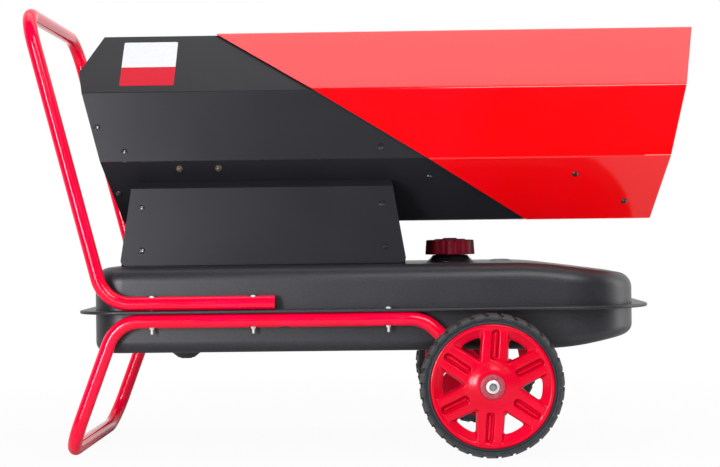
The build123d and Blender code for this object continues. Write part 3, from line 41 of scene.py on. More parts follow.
# ------------------------------------------------------------------ camera
# A long lens square on to the heater's right-hand side, about 3.3 m away and a little higher than
# the tank's top, turned a touch towards the handle and rolled by less than a degree.
CAMERA_AT = (0.058, -3.290, 0.3925)
CAMERA_YAW = radians(1.212)
CAMERA_PITCH = radians(0.067)
CAMERA_ROLL = radians(0.70)
LENS = 87.5  # mm, on a film this wide
SENSOR = 36.0

bpy.ops.object.select_all(action="DESELECT")
bpy.ops.object.camera_add(location=CAMERA_AT)
camera = bpy.context.object
camera.data.lens = LENS
camera.data.sensor_width = SENSOR
aim = Matrix.Rotation(CAMERA_YAW, 4, "Z") @ Matrix.Rotation(pi / 2 - CAMERA_PITCH, 4, "X")
aim = aim @ Matrix.Rotation(-CAMERA_ROLL, 4, "Z")
camera.rotation_euler = aim.to_euler()
bpy.context.scene.camera = camera
bpy.context.scene.view_settings.view_transform = "Standard"


# ------------------------------------------------------------------ finishes
# Every finish is a shader tree. Value wraps one socket, so that shader maths reads as Python, and
# Finish makes any other node, with its settings first and its sockets after.
MIX_SHARE = 0  # the sockets of a Mix node: its share, then a pair for each kind of value
MIX_NUMBERS = (2, 3)
MIX_COLOURS = (6, 7)
MIXED_COLOUR = 2


class Value:
    """A number or a colour on its way through a shader tree."""

    def __init__(self, finish, socket):
        self.finish = finish
        self.socket = socket

    def __add__(self, other):
        return self.finish.maths("ADD", self, other)

    def __sub__(self, other):
        return self.finish.maths("SUBTRACT", self, other)

    def __mul__(self, other):
        return self.finish.maths("MULTIPLY", self, other)

    def __gt__(self, other):
        return self.finish.maths("GREATER_THAN", self, other)

    def __lt__(self, other):
        return self.finish.maths("LESS_THAN", self, other)


class Made:
    """A node that was just made, with its outputs at hand."""

    def __init__(self, finish, shader_node):
        self.finish = finish
        self.shader_node = shader_node

    def out(self, name):
        return Value(self.finish, self.shader_node.outputs[name])


class Finish:
    """One material, made of a Principled shader and what feeds it."""

    def __init__(self, name, **constants):
        self.material = bpy.data.materials.new(name)
        self.material.use_nodes = True
        self.tree = self.material.node_tree
        self.shader = self.tree.nodes["Principled BSDF"]
        self.place = self.node("TexCoord").out("Object")
        for socket, value in constants.items():
            self.shader.inputs[socket.replace("_", " ")].default_value = value

    def node(self, kind, settings=None, sockets=None):
        made = self.tree.nodes.new("ShaderNode" + kind)
        for name, value in (settings or {}).items():
            if name == "stops":
                ramp = made.color_ramp.elements
                ramp[0].position, ramp[0].color = value[0]
                ramp[1].position, ramp[1].color = value[-1]
                for position, shade in value[1:-1]:
                    ramp.new(position).color = shade
            else:
                setattr(made, name, value)
        for name, value in (sockets or {}).items():
            if isinstance(value, Value):
                self.tree.links.new(value.socket, made.inputs[name])
            else:
                made.inputs[name].default_value = value
        return Made(self, made)

    def feed(self, socket, value):
        self.tree.links.new(value.socket, self.shader.inputs[socket])

    def noise(self, size_mm, detail=3.0, roughness=0.5):
        """Soft random values from 0 to 1, with lumps of about this size."""
        return self.node(
            "TexNoise",
            sockets={
                "Vector": self.place,
                "Scale": 1 / (size_mm * MM),
                "Detail": detail,
                "Roughness": roughness,
            },
        ).out(0)

    def between(self, share, low, high):
        """A colour between two colours."""
        first, second = MIX_COLOURS
        mix = self.node("Mix", {"data_type": "RGBA"}, {MIX_SHARE: share, first: low, second: high})
        return mix.out(MIXED_COLOUR)

    def span(self, value, low, high, to_low=0.0, to_high=1.0):
        """The value, stretched from one range to another and held there."""
        return self.node(
            "MapRange",
            sockets={
                "Value": value, "From Min": low, "From Max": high, "To Min": to_low,
                "To Max": to_high,
            },
        ).out("Result")

    def patchy(self, size_mm, low=0.0, high=1.0, detail=3.0):
        """Values that drift between two limits, in patches of about this size."""
        return self.span(self.noise(size_mm, detail), 0.3, 0.7, low, high)

    def maths(self, operation, first, second):
        """Number maths, as a number."""
        return self.node("Math", {"operation": operation}, {0: first, 1: second}).out("Value")

    def vector(self, operation, first, second):
        """Vector maths, as a vector."""
        made = self.node("VectorMath", {"operation": operation}, {0: first, 1: second})
        return made.out("Vector")

    def length(self, vector):
        """How long a vector is."""
        return self.node("VectorMath", {"operation": "LENGTH"}, {0: vector}).out("Value")

    def bumps(self, height, distance_mm):
        """Relief of this height, seen in the shading only."""
        bump = self.node("Bump", sockets={"Height": height, "Distance": distance_mm * MM})
        self.feed("Normal", bump.out("Normal"))


def colour(red, green, blue):
    """A screen colour, 0 to 255, in Blender's linear values."""
    linear = []
    for part in (red, green, blue):
        share = part / 255
        linear.append(share / 12.92 if share <= 0.04045 else ((share + 0.055) / 1.055) ** 2.4)
    return (*linear, 1.0)


def enamel(name, deep, bright, rough, peel_mm, peel_height, **constants):
    """Sprayed or powdered paint: a little uneven in colour and gloss, with orange peel."""
    finish = Finish(name, **constants)
    clouds = finish.span(finish.noise(90.0, 2.0), 0.35, 0.65)
    finish.feed("Base Color", finish.between(clouds, deep, bright))
    finish.feed("Roughness", finish.patchy(35.0, *rough, detail=4.0))
    finish.bumps(finish.noise(peel_mm, 2.0), peel_height)
    return finish.material


MARKS_PER_METRE = 1400.0


def plated(name, dark, light, rough, metallic, stretch=(1.0, 1.0, 1.0), mottle_mm=6.0):
    """Bare or plated metal: mottled, with fine marks drawn out along one way."""
    finish = Finish(name, Metallic=metallic)
    finish.feed("Base Color", finish.between(finish.patchy(mottle_mm), dark, light))
    drawn = finish.vector("MULTIPLY", finish.place, stretch)
    marks = finish.node(
        "TexNoise", sockets={"Vector": drawn, "Scale": MARKS_PER_METRE, "Detail": 3.0}
    ).out(0)
    finish.feed("Roughness", finish.span(marks, 0.3, 0.7, *rough))
    finish.bumps(marks, 0.015)
    return finish.material


def paint_node(node, material):
    """Give a CAD node, whose shape is right, its own finish."""
    cad_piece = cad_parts[node]
    cad_piece.data.materials.clear()
    cad_piece.data.materials.append(material)


# ------------------------------------------------------------------ floor and studio
# A round white floor in a white room, seen by the camera as nearly plain white but still taking a
# soft shadow. The room in front is dim, so the paint keeps its depth. Six soft boxes light it.
FLOOR_RADIUS = 2.0
FLOOR_Z = -0.0004
FLOOR_GREY = (0.62, 0.62, 0.62, 1.0)
FLOOR_GLOW = 0.95  # how much of plain white the camera sees near the heater
GLOW_EDGE = (0.7, 1.7)  # metres from the middle, between which it grows to all of it
WHITE = (1.0, 1.0, 1.0, 1.0)
AMBIENT = 0.55
AMBIENT_FRONT = 0.15
AMBIENT_EDGE = (-0.95, -0.7)  # how far back a ray points, where the front ends and the rest begins
BACK_BRIGHT = 1.0  # the same for what glossy faces reflect
FRONT_DIM = 0.03
MIRROR_EDGE = (-0.25, 0.35)

world = bpy.data.worlds.new("studio")
bpy.context.scene.world = world
world.use_nodes = True
sky = world.node_tree
rays = sky.nodes.new("ShaderNodeLightPath")
towards = sky.nodes.new("ShaderNodeTexCoord")
split = sky.nodes.new("ShaderNodeSeparateXYZ")
sky.links.new(towards.outputs["Generated"], split.inputs[0])


def sky_step(kind, sockets, **settings):
    """One number node of the studio's surroundings."""
    made = sky.nodes.new("ShaderNode" + kind)
    for name, value in settings.items():
        setattr(made, name, value)
    for name, value in sockets.items():
        if isinstance(value, float):
            made.inputs[name].default_value = value
        else:
            sky.links.new(value, made.inputs[name])
    return made.outputs[0]


def from_front(edge, low, high):
    """A level that grows from low to high as a ray points further back."""
    return sky_step(
        "MapRange",
        {"Value": split.outputs["Y"], "From Min": edge[0], "From Max": edge[1], "To Min": low,
         "To Max": high},
    )


def sky_mix(share, first, second):
    """A level between two levels."""
    return sky_step("Mix", {MIX_SHARE: share, MIX_NUMBERS[0]: first, MIX_NUMBERS[1]: second})


lighting = from_front(AMBIENT_EDGE, AMBIENT_FRONT, AMBIENT)
mirrored = from_front(MIRROR_EDGE, FRONT_DIM, BACK_BRIGHT)
unseen = sky_mix(rays.outputs["Is Glossy Ray"], lighting, mirrored)
seen = sky_step(
    "Math", {0: rays.outputs["Is Camera Ray"], 1: rays.outputs["Is Transmission Ray"]},
    operation="MAXIMUM",
)
level = sky_mix(seen, unseen, 1.0)
sky.nodes["Background"].inputs["Color"].default_value = WHITE
sky.links.new(level, sky.nodes["Background"].inputs["Strength"])

bpy.ops.object.select_all(action="DESELECT")
bpy.ops.mesh.primitive_circle_add(
    vertices=96, radius=FLOOR_RADIUS, fill_type="NGON", location=(0, 0, FLOOR_Z)
)
floor = bpy.context.object
floor.name = "floor"
sweep = bpy.data.materials.new("white_sweep")
sweep.use_nodes = True
tree = sweep.node_tree
paper = tree.nodes["Principled BSDF"]
paper.inputs["Base Color"].default_value = FLOOR_GREY
paper.inputs["Roughness"].default_value = 0.9
paper.inputs["Specular IOR Level"].default_value = 0.1
glow = tree.nodes.new("ShaderNodeEmission")
glow.inputs["Color"].default_value = WHITE
mixed = tree.nodes.new("ShaderNodeMixShader")
floor_rays = tree.nodes.new("ShaderNodeLightPath")
share = tree.nodes.new("ShaderNodeMath")
share.operation = "MULTIPLY"
tree.links.new(floor_rays.outputs["Is Camera Ray"], share.inputs[0])
floor_place = tree.nodes.new("ShaderNodeTexCoord")
outwards = tree.nodes.new("ShaderNodeVectorMath")
outwards.operation = "LENGTH"
tree.links.new(floor_place.outputs["Object"], outwards.inputs[0])
fade = tree.nodes.new("ShaderNodeMapRange")
tree.links.new(outwards.outputs["Value"], fade.inputs["Value"])
fade_sockets = ("From Min", "From Max", "To Min", "To Max")
for socket, value in zip(fade_sockets, (*GLOW_EDGE, FLOOR_GLOW, 1.0)):
    fade.inputs[socket].default_value = value
tree.links.new(fade.outputs[0], share.inputs[1])
tree.links.new(share.outputs[0], mixed.inputs["Fac"])
tree.links.new(paper.outputs[0], mixed.inputs[1])
tree.links.new(glow.outputs[0], mixed.inputs[2])
tree.links.new(mixed.outputs[0], tree.nodes["Material Output"].inputs["Surface"])
floor.data.materials.append(sweep)


def soft_lamp(name, location, target, width, height, watts, tint=(1.0, 1.0, 1.0)):
    """A rectangular soft box that points at a place on the heater."""
    bpy.ops.object.select_all(action="DESELECT")
    bpy.ops.object.light_add(type="AREA", location=location)
    lamp = bpy.context.object
    lamp.name = name
    lamp.data.shape = "RECTANGLE"
    lamp.data.size = width
    lamp.data.size_y = height
    lamp.data.energy = watts
    lamp.data.color = tint
    aim = Vector(target) - Vector(location)
    lamp.rotation_euler = aim.to_track_quat("-Z", "Y").to_euler()


COOL = (0.92, 0.94, 1.0)
soft_lamp("overhead_box", (0.1, 0.15, 2.4), (0.1, 0.1, 0.5), 3.0, 1.1, 18.0)
soft_lamp("left_panel", (-1.65, -3.1, 0.8), (-0.4, 0.0, 0.5), 0.6, 1.2, 64.0, COOL)
soft_lamp("upper_key", (0.9, -2.3, 2.0), (0.0, 0.0, 0.35), 1.5, 1.0, 40.0)
soft_lamp("low_left", (-1.3, -2.6, 0.2), (-0.1, 0.1, 0.25), 1.2, 0.3, 12.0)
soft_lamp("upper_strip", (0.1, -3.3, 1.25), (0.0, 0.0, 0.35), 4.0, 0.05, 5.0)
soft_lamp("right_panel", (2.3, 0.3, 0.6), (0.4, 0.0, 0.35), 0.8, 1.4, 11.0)

# ------------------------------------------------------------------ tube frame
# Two U tubes of 25 mm steel, bent cold, crushed a little where a bolt bears on them, and sprayed
# with glossy red enamel. Black plastic plugs close their open ends.
tube_red = enamel(
    "tube_red", colour(232, 0, 46), colour(242, 0, 56), (0.08, 0.13), 3.0, 0.015,
    Specular_IOR_Level=0.35,
)
black_plastic = enamel(
    "black_plastic", colour(30, 30, 32), colour(42, 42, 44), (0.42, 0.6), 0.7, 0.02
)
for node, material in (
    ("handle_tube", tube_red), ("chassis_tube", tube_red),
    ("tube_plugs", black_plastic),
):
    paint_node(node, material)

# ------------------------------------------------------------------ frame bolts and nuts
# Zinc-plated domed bolts clamp the tank's seam between the rails. Each is turned with its rolled
# thread, and its six-sided nut has a collar; one of each kind is made and the others are copies.
BOLT_X = (-372.6, -194.8, 41.3)  # mm; the first two go through both rails, the last through one
RAIL_Y = 238.0
LONG_SEAT = 281.22  # height under the head
SHORT_SEAT = 258.0
NUT_SEAT = 228.78
NUT_DEPTH = 3.0
NUT_CORNER_R = 4.62
COLLAR_INSET = 0.5
COLLAR_DEPTH = 1.0
BOLT_END = 216.78
THREAD_START = 231.0
THREAD_PITCH = 0.8
UP = Vector((0, 0, 1))
RIGHTWARD = Vector((1, 0, 0))


def started(add, name, **place):
    """A primitive, alone in the selection, open for shaping, with its place in its mesh."""
    bpy.ops.object.select_all(action="DESELECT")
    add(**place)
    piece = bpy.context.object
    piece.name = name
    bpy.ops.object.transform_apply(location=True, rotation=True, scale=True)
    bpy.ops.object.mode_set(mode="EDIT")
    return piece


def opened(piece):
    """Open a finished mesh again, with all of it selected."""
    bpy.ops.object.select_all(action="DESELECT")
    piece.select_set(True)
    bpy.context.view_layer.objects.active = piece
    bpy.ops.object.mode_set(mode="EDIT")
    bpy.ops.mesh.select_all(action="SELECT")


def closed(piece):
    """Leave the mesh clean: doubles merged and every face pointing outwards."""
    bpy.ops.mesh.select_all(action="SELECT")
    bpy.ops.mesh.remove_doubles(threshold=MM / 100)
    bpy.ops.mesh.normals_make_consistent(inside=False)
    bpy.ops.object.mode_set(mode="OBJECT")
    return piece


def pick(piece, kind, wanted):
    """Select the corners, edges or faces whose middle, or which themselves, pass a test."""
    bpy.ops.mesh.select_mode(type=kind)
    bpy.ops.mesh.select_all(action="DESELECT")
    mesh = bmesh.from_edit_mesh(piece.data)
    for part in {"VERT": mesh.verts, "EDGE": mesh.edges, "FACE": mesh.faces}[kind]:
        corners = [part] if kind == "VERT" else part.verts
        middle = sum((corner.co for corner in corners), Vector()) / len(corners)
        if wanted(middle, part):
            part.select_set(True)
    bmesh.update_edit_mesh(piece.data)


def traced(name, points, ring=True):
    """A line of edges, drawn by pulling one corner from point to point, closed if a ring."""
    piece = started(bpy.ops.mesh.primitive_plane_add, name, size=MM)
    bpy.ops.mesh.select_mode(type="VERT")
    bpy.ops.mesh.select_all(action="SELECT")
    bpy.ops.mesh.merge(type="CENTER")
    bpy.ops.transform.translate(value=points[0])
    for before, after in zip(points, points[1:]):
        bpy.ops.mesh.extrude_vertices_move(TRANSFORM_OT_translate={"value": after - before})
    if ring:
        ends = (points[0], points[-1])
        pick(piece, "VERT", lambda middle, _: min((middle - e).length for e in ends) < 1e-6)
        bpy.ops.mesh.edge_face_add()
    bpy.ops.mesh.select_all(action="SELECT")
    return piece


def turned(name, section, centre, along, outward, steps=48):
    """A form spun round a line. Its half section is pairs of radius and height, in mm."""
    points = [centre + outward * radius * MM + along * height * MM for radius, height in section]
    piece = traced(name, points, ring=section[0][0] > 0)
    bpy.ops.mesh.spin(steps=steps, angle=2 * pi, center=centre, axis=along)
    return closed(piece)


def shaped(piece, kind, **settings):
    """Shape a piece with one modifier, applied at once."""
    bpy.ops.object.select_all(action="DESELECT")
    piece.select_set(True)
    bpy.context.view_layer.objects.active = piece
    modifier = piece.modifiers.new(kind.lower(), kind)
    for name, value in settings.items():
        setattr(modifier, name, value)
    bpy.ops.object.modifier_apply(modifier=modifier.name)


def joined(first, *others):
    """Make several pieces one mesh."""
    bpy.ops.object.select_all(action="DESELECT")
    for piece in (first, *others):
        piece.select_set(True)
    bpy.context.view_layer.objects.active = first
    bpy.ops.object.join()
    return first


def stepped_copies(piece, moves):
    """Copy all of a mesh to further places, each move in mm from the copy before."""
    opened(piece)
    for move in moves:
        bpy.ops.mesh.duplicate_move(TRANSFORM_OT_translate={"value": Vector(move) * MM})
    bpy.ops.object.mode_set(mode="OBJECT")


def fitted(piece, material, body, slot, *nodes, crease=35):
    """Give a piece its finish and its body, and hide the CAD nodes that it stands for. The slot is
    not used.
    """
    piece.data.materials.clear()
    piece.data.materials.append(material)
    bpy.ops.object.select_all(action="DESELECT")
    piece.select_set(True)
    bpy.context.view_layer.objects.active = piece
    bpy.ops.object.shade_smooth_by_angle(angle=radians(crease))
    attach(piece, body)
    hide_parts(*nodes)


def bolt_section(seat):
    """Half of a domed bolt: head, shank and rolled thread, down to its end."""
    section = [(0, 3.0), (2.2, 2.8), (3.9, 2.0), (4.7, 0.9), (4.9, 0.0), (2.5, 0.0)]
    turns = int((THREAD_START - BOLT_END) / THREAD_PITCH)
    for turn in range(turns):
        height = THREAD_START - seat - turn * THREAD_PITCH
        section += [(2.5, height), (2.1, height - THREAD_PITCH / 2)]
    return section + [(2.0, BOLT_END - seat), (0, BOLT_END - seat)]


frame_bolts = None
for seat, places in ((LONG_SEAT, BOLT_X[:2]), (SHORT_SEAT, BOLT_X[2:])):
    middle = Vector((places[0], -RAIL_Y, seat)) * MM
    bolt = turned("bright_bolts", bolt_section(seat), middle, UP, RIGHTWARD, 24)
    along = [(x - places[0], 0, 0) for x in places[1:]]
    back = [(places[0] - x, 0, 0) for x in places[1:]]
    stepped_copies(bolt, along + [(0, 2 * RAIL_Y, 0)] + back)
    frame_bolts = joined(frame_bolts, bolt) if frame_bolts else bolt
bright_zinc = plated(
    "bright_zinc", colour(214, 216, 214), colour(240, 241, 240), (0.3, 0.5), 0.45
)
fitted(frame_bolts, bright_zinc, "heater", "zinc", "frame_bolts")

nuts = started(
    bpy.ops.mesh.primitive_cylinder_add, "lock_nuts", vertices=6, radius=NUT_CORNER_R * MM,
    depth=NUT_DEPTH * MM, location=Vector((BOLT_X[0], -RAIL_Y, NUT_SEAT - NUT_DEPTH / 2)) * MM,
)
pick(nuts, "FACE", lambda _, face: face.normal.z < -0.9)
bpy.ops.mesh.inset(thickness=COLLAR_INSET * MM)
bpy.ops.mesh.extrude_region_move(TRANSFORM_OT_translate={"value": (0, 0, -COLLAR_DEPTH * MM)})
bpy.ops.mesh.bevel(offset=0.35 * MM, segments=2, affect="EDGES")
closed(nuts)
rail_steps = [(BOLT_X[1] - BOLT_X[0], 0, 0), (BOLT_X[2] - BOLT_X[1], 0, 0)]
rail_back = [(-x, 0, 0) for x, _, _ in reversed(rail_steps)]
stepped_copies(nuts, rail_steps + [(0, 2 * RAIL_Y, 0)] + rail_back)
fitted(nuts, bright_zinc, "heater", "zinc", "frame_nuts")

# ------------------------------------------------------------------ wheel rims
# Moulded in one piece of smooth red plastic: a barrel, six broad spokes with sloping windows
# between them, and a slot with a rib down the middle of each spoke. All its edges are rounded.
HUB = Vector((218.0, 0.0, 125.0)) * MM
OUTWARD = Vector((0, -1, 0))
SPOKES = 6
SPOKE_TURN = -4.0  # degrees
LEFT_AHEAD = 16.0  # how much further the left rim is turned
WINDOW_ROOT = 42.4  # mm from the hub's middle
WINDOW_REACH = 100.5
WINDOW_HALF = radians(18.5)
RIM_CLEAR = 301.6  # mm from the heater's middle plane, just outside the rim
WINDOW_STEPS = (  # how deep, how much smaller in x and z, and towards which place
    (2.4, (0.93, 1, 0.93), (79, 0, 299.2)),
    (10, (0.66, 1, 0.667), (61, 0, 289)),
)
WINDOW_TAIL = 8
SPOKE_MIDDLE = 71  # mm from the hub's middle
SLOT_SIZE = (11.4, 12, 50)
RIB_SIZE = (4.2, 8, 44)
RIM_VOXEL = 1.3
RIM_SECTION = (
    (16.0, 257.0), (24.0, 257.0), (24.0, 286.0), (103.5, 286.0), (103.5, 262.0), (107.9, 262.0),
    (107.9, 298.6), (106.6, 300.2), (104.5, 301.2), (101.5, 301.2), (98.5, 300.0), (50.0, 300.0),
    (42.0, 300.9), (34.0, 303.2), (28.0, 305.2), (24.0, 305.9), (16.0, 306.0),
)


def spot(across, up, out):
    """A place on the right wheel, in mm from the axle's line and the heater's middle plane."""
    return HUB + Vector((across, -out, up)) * MM


def ringed(piece, count, centre=HUB, along=OUTWARD):
    """Copy all of a mesh round a line, by default the axle."""
    opened(piece)
    bpy.ops.mesh.spin(
        steps=count - 1, dupli=True, angle=2 * pi * (count - 1) / count, center=centre, axis=along
    )
    return closed(piece)


def bar(name, across, up, out, size, rounding, segments):
    """A block on the wheel, its edges along the axle rounded."""
    block = started(
        bpy.ops.mesh.primitive_cube_add, name, size=MM, location=spot(across, up, out), scale=size
    )
    pick(block, "EDGE", lambda _, edge: abs(edge.verts[0].co.y - edge.verts[1].co.y) > MM)
    bpy.ops.mesh.bevel(offset=rounding * MM, segments=segments, affect="EDGES")
    return block


def moulded(piece, voxel_mm, rounds):
    """Melt overlapping forms into one skin with soft edges, as out of a mould."""
    shaped(piece, "REMESH", mode="VOXEL", voxel_size=voxel_mm * MM, use_smooth_shade=True)
    shaped(piece, "SMOOTH", factor=0.5, iterations=rounds)


def left_twin(piece, name):
    """The same piece for the other side, with its own mesh."""
    bpy.ops.object.select_all(action="DESELECT")
    piece.select_set(True)
    bpy.context.view_layer.objects.active = piece
    bpy.ops.object.duplicate()
    twin = bpy.context.object
    twin.name = name
    opened(twin)
    bpy.ops.transform.resize(value=(1, -1, 1), center_override=(0, 0, 0))
    return closed(twin)


window_arc = [
    spot(
        WINDOW_REACH * cos(share * WINDOW_HALF), WINDOW_REACH * sin(share * WINDOW_HALF), RIM_CLEAR
    )
    for share in (-1, -0.6, -0.2, 0.2, 0.6, 1)
]
window = traced("window", [spot(WINDOW_ROOT, 0, RIM_CLEAR), *window_arc])
bpy.ops.mesh.edge_face_add()
for depth, smaller, place in WINDOW_STEPS:
    bpy.ops.mesh.extrude_region_move(TRANSFORM_OT_translate={"value": (0, depth * MM, 0)})
    bpy.ops.transform.resize(value=smaller, center_override=spot(*place))
bpy.ops.mesh.extrude_region_move(TRANSFORM_OT_translate={"value": (0, WINDOW_TAIL * MM, 0)})
bpy.ops.mesh.select_mode(type="EDGE")
bpy.ops.mesh.select_all(action="DESELECT")
outline = bmesh.from_edit_mesh(window.data)
for edge in outline.edges:
    upright = abs(edge.verts[0].co.y - edge.verts[1].co.y) > MM
    edge.select_set(upright and edge.calc_face_angle(0) > radians(30))
bmesh.update_edit_mesh(window.data)
bpy.ops.mesh.bevel(offset=4 * MM, segments=4, affect="EDGES")
ringed(closed(window), SPOKES)
slot = bar("slot", 0, SPOKE_MIDDLE, 297.0, SLOT_SIZE, 5.2, 6)
pick(slot, "VERT", lambda middle, _: middle.y < spot(0, 0, 301).y)
bpy.ops.transform.resize(value=(1.28, 1, 1.06), center_override=spot(0, SPOKE_MIDDLE, 302))
cutters = joined(window, ringed(closed(slot), SPOKES))

rim = turned("wheel_rim_right_moulded", RIM_SECTION, HUB, OUTWARD, RIGHTWARD, 120)
shaped(rim, "BOOLEAN", operation="DIFFERENCE", object=cutters, solver="EXACT")
bpy.data.objects.remove(cutters)
rib = bar("rib", 0.8, SPOKE_MIDDLE, 292.6, RIB_SIZE, 2.0, 4)
rim = joined(rim, ringed(closed(rib), SPOKES))
moulded(rim, RIM_VOXEL, 3)
opened(rim)
bpy.ops.transform.rotate(value=radians(SPOKE_TURN), orient_axis="Y", center_override=HUB)
closed(rim)
rim_red = enamel(
    "rim_red", colour(202, 0, 34), colour(218, 0, 44), (0.14, 0.2), 2.6, 0.05,
    Specular_IOR_Level=0.22,
)
left_rim = left_twin(rim, "wheel_rim_left_moulded")
opened(left_rim)
bpy.ops.transform.rotate(value=radians(LEFT_AHEAD), orient_axis="Y", center_override=HUB)
closed(left_rim)
fitted(rim, rim_red, "right_wheel", "rim_red", "wheel_rim_right", crease=60)
fitted(left_rim, rim_red, "left_wheel", "rim_red", "wheel_rim_left", crease=60)

# ------------------------------------------------------------------ tyres
# Solid slate-black rubber: a bead over the rim's lip, a low wall, and a crowned tread of two rows
# of slanted blocks, with a rib between the rows and one along each shoulder.
TREAD_BLOCKS = 30
ROW_SHIFT = 0.36  # of a block, from the outer row to the inner one
TYRE_MIDDLE = 282
BLOCK_SIZE = (18.8, 21.6, 10.6)
BLOCK_MIDDLE_R = 119.5
ROW_DROP = 1.8  # the inner row lies this much lower
ROW_OFFSET = 11.6  # from the tyre's middle to the middle of a row
BLOCK_END = 22.4  # and to the outer ends of its blocks
END_WIDTH = 0.86
END_SLANT = 4
END_DROP = 2.8
TYRE_SECTION = (
    (108.0, 262.5), (108.0, 299.2), (107.5, 300.0), (107.2, 302.0), (108.0, 303.2), (109.6, 303.3),
    (110.8, 302.5), (111.8, 301.3), (113.4, 301.4), (115.6, 303.2), (117.2, 304.3), (118.4, 304.3),
    (119.4, 303.4), (119.4, 302.2), (117.2, 300.8), (120.0, 286.2), (120.6, 285.2), (120.6, 278.8),
    (120.0, 277.8), (117.2, 263.2), (119.4, 262.0), (119.4, 260.8), (118.4, 259.7), (117.2, 259.7),
    (113.4, 261.6),
)
tyre = turned("tyre_right_moulded", TYRE_SECTION, HUB, OUTWARD, RIGHTWARD, 180)
for row, facing in enumerate((1, -1)):
    middle_out = TYRE_MIDDLE + facing * ROW_OFFSET
    end_out = TYRE_MIDDLE + facing * BLOCK_END
    block = bar(
        "block", 0, BLOCK_MIDDLE_R - ROW_DROP * row, middle_out, BLOCK_SIZE, 1.0, 2
    )
    pick(block, "VERT", lambda corner, _: abs(-corner.y / MM - end_out) < 0.5)
    bpy.ops.transform.resize(value=(END_WIDTH, 1, 1), center_override=spot(0, 120, end_out))
    bpy.ops.transform.translate(value=(END_SLANT * MM, 0, 0))
    pick(
        block, "VERT",
        lambda corner, _: abs(-corner.y / MM - end_out) < 0.5 and corner.z > HUB.z + 0.12,
    )
    bpy.ops.transform.translate(value=(0, 0, -END_DROP * MM))
    bpy.ops.mesh.select_all(action="SELECT")
    turn = row * ROW_SHIFT * 2 * pi / TREAD_BLOCKS
    bpy.ops.transform.rotate(value=turn, orient_axis="Y", center_override=HUB)
    ringed(closed(block), TREAD_BLOCKS)
    shaped(tyre, "BOOLEAN", operation="UNION", object=block, solver="EXACT")
    bpy.data.objects.remove(block)

TREAD_SHEEN_EDGE = (0.1168, 0.1195)  # metres from the hub's middle, between which the tread gets a browner painted sheen
rubber = Finish("tyre_rubber", Specular_IOR_Level=0.35)
from_hub = rubber.vector("SUBTRACT", rubber.place, HUB)
radius = rubber.length(rubber.vector("MULTIPLY", from_hub, (1, 0, 1)))
# The tread is painted browner, in patches: a painted sheen standing in for light reflected off the
# tread, not dust or wear.
sheen_patches = rubber.span(rubber.noise(5.0, 4.0), 0.3, 0.6, 0.4, 1.0)
painted_tread_sheen = rubber.span(radius, *TREAD_SHEEN_EDGE) * sheen_patches
wall = rubber.between(rubber.noise(20.0), colour(28, 34, 38), colour(43, 52, 57))
rubber.feed("Base Color", rubber.between(painted_tread_sheen, wall, colour(70, 64, 62)))
rubber.feed("Roughness", rubber.patchy(4.0, 0.44, 0.66, detail=4.0))
rubber.bumps(rubber.noise(0.9, 3.0), 0.06)
left_tyre = left_twin(tyre, "tyre_left_moulded")
fitted(tyre, rubber.material, "right_wheel", "tyre_rubber", "tyre_right", crease=40)
fitted(left_tyre, rubber.material, "left_wheel", "tyre_rubber", "tyre_left", crease=40)

# ------------------------------------------------------------------ axle, hub bushes and washers
# A drawn steel bar with bevelled ends carries both wheels. A flanged bush of mottled dull red
# nylon is pressed into each hub, a spacer stands inside it and a zinc-plated push-on cap holds it.
AXLE_SECTION = ((0, -318.0), (4.1, -318.0), (6.0, -316.4), (6.0, 316.4), (4.1, 318.0), (0, 318.0))
BUSH_SECTION = (
    (6.1, 257.0), (15.9, 257.0), (15.9, 306.1), (21.3, 306.1), (21.6, 307.4), (20.9, 309.4),
    (19.4, 310.0), (14.0, 310.0), (13.0, 309.5), (6.1, 309.5),
)
SPACER_SECTION = (
    (6.1, 250.6), (10.6, 250.6), (11.0, 251.0), (11.0, 256.3), (10.6, 256.7), (6.1, 256.7),
)
PUSH_CAP_SECTION = (
    (6.1, 310.4), (11.2, 310.4), (11.5, 310.9), (11.1, 311.9), (10.0, 312.5), (7.4, 312.8),
    (6.4, 312.5), (6.1, 311.6),
)
axle = turned("axle_turned", AXLE_SECTION, HUB, OUTWARD, RIGHTWARD, 48)
axle_steel = plated(
    "axle_steel", colour(150, 150, 150), colour(186, 186, 186), (0.25, 0.42), 0.9, (1, 0.05, 1)
)
fitted(axle, axle_steel, "heater", "axle_steel", "axle")

bush = turned("hub_bush_right_turned", BUSH_SECTION, HUB, OUTWARD, RIGHTWARD, 64)
nylon = Finish("bush_nylon")
specks = nylon.span(nylon.noise(1.6, 5.0, 0.7), 0.42, 0.62)
nylon.feed("Base Color", nylon.between(specks, colour(128, 16, 36), colour(196, 84, 98)))
nylon.feed("Roughness", nylon.patchy(3.0, 0.4, 0.6))
nylon.bumps(nylon.noise(1.2, 3.0), 0.08)
left_bush = left_twin(bush, "hub_bush_left_turned")
fitted(bush, nylon.material, "right_wheel", "bush_plastic", "wheel_bush_right")
fitted(left_bush, nylon.material, "left_wheel", "bush_plastic", "wheel_bush_left")

spacer = turned("spacer", SPACER_SECTION, HUB, OUTWARD, RIGHTWARD, 48)
washers = joined(spacer, turned("cap", PUSH_CAP_SECTION, HUB, OUTWARD, RIGHTWARD, 48))
washers.name = "axle_washers_pressed"
washers = joined(washers, left_twin(washers, "other_side"))
fitted(washers, bright_zinc, "heater", "zinc", "axle_washers")

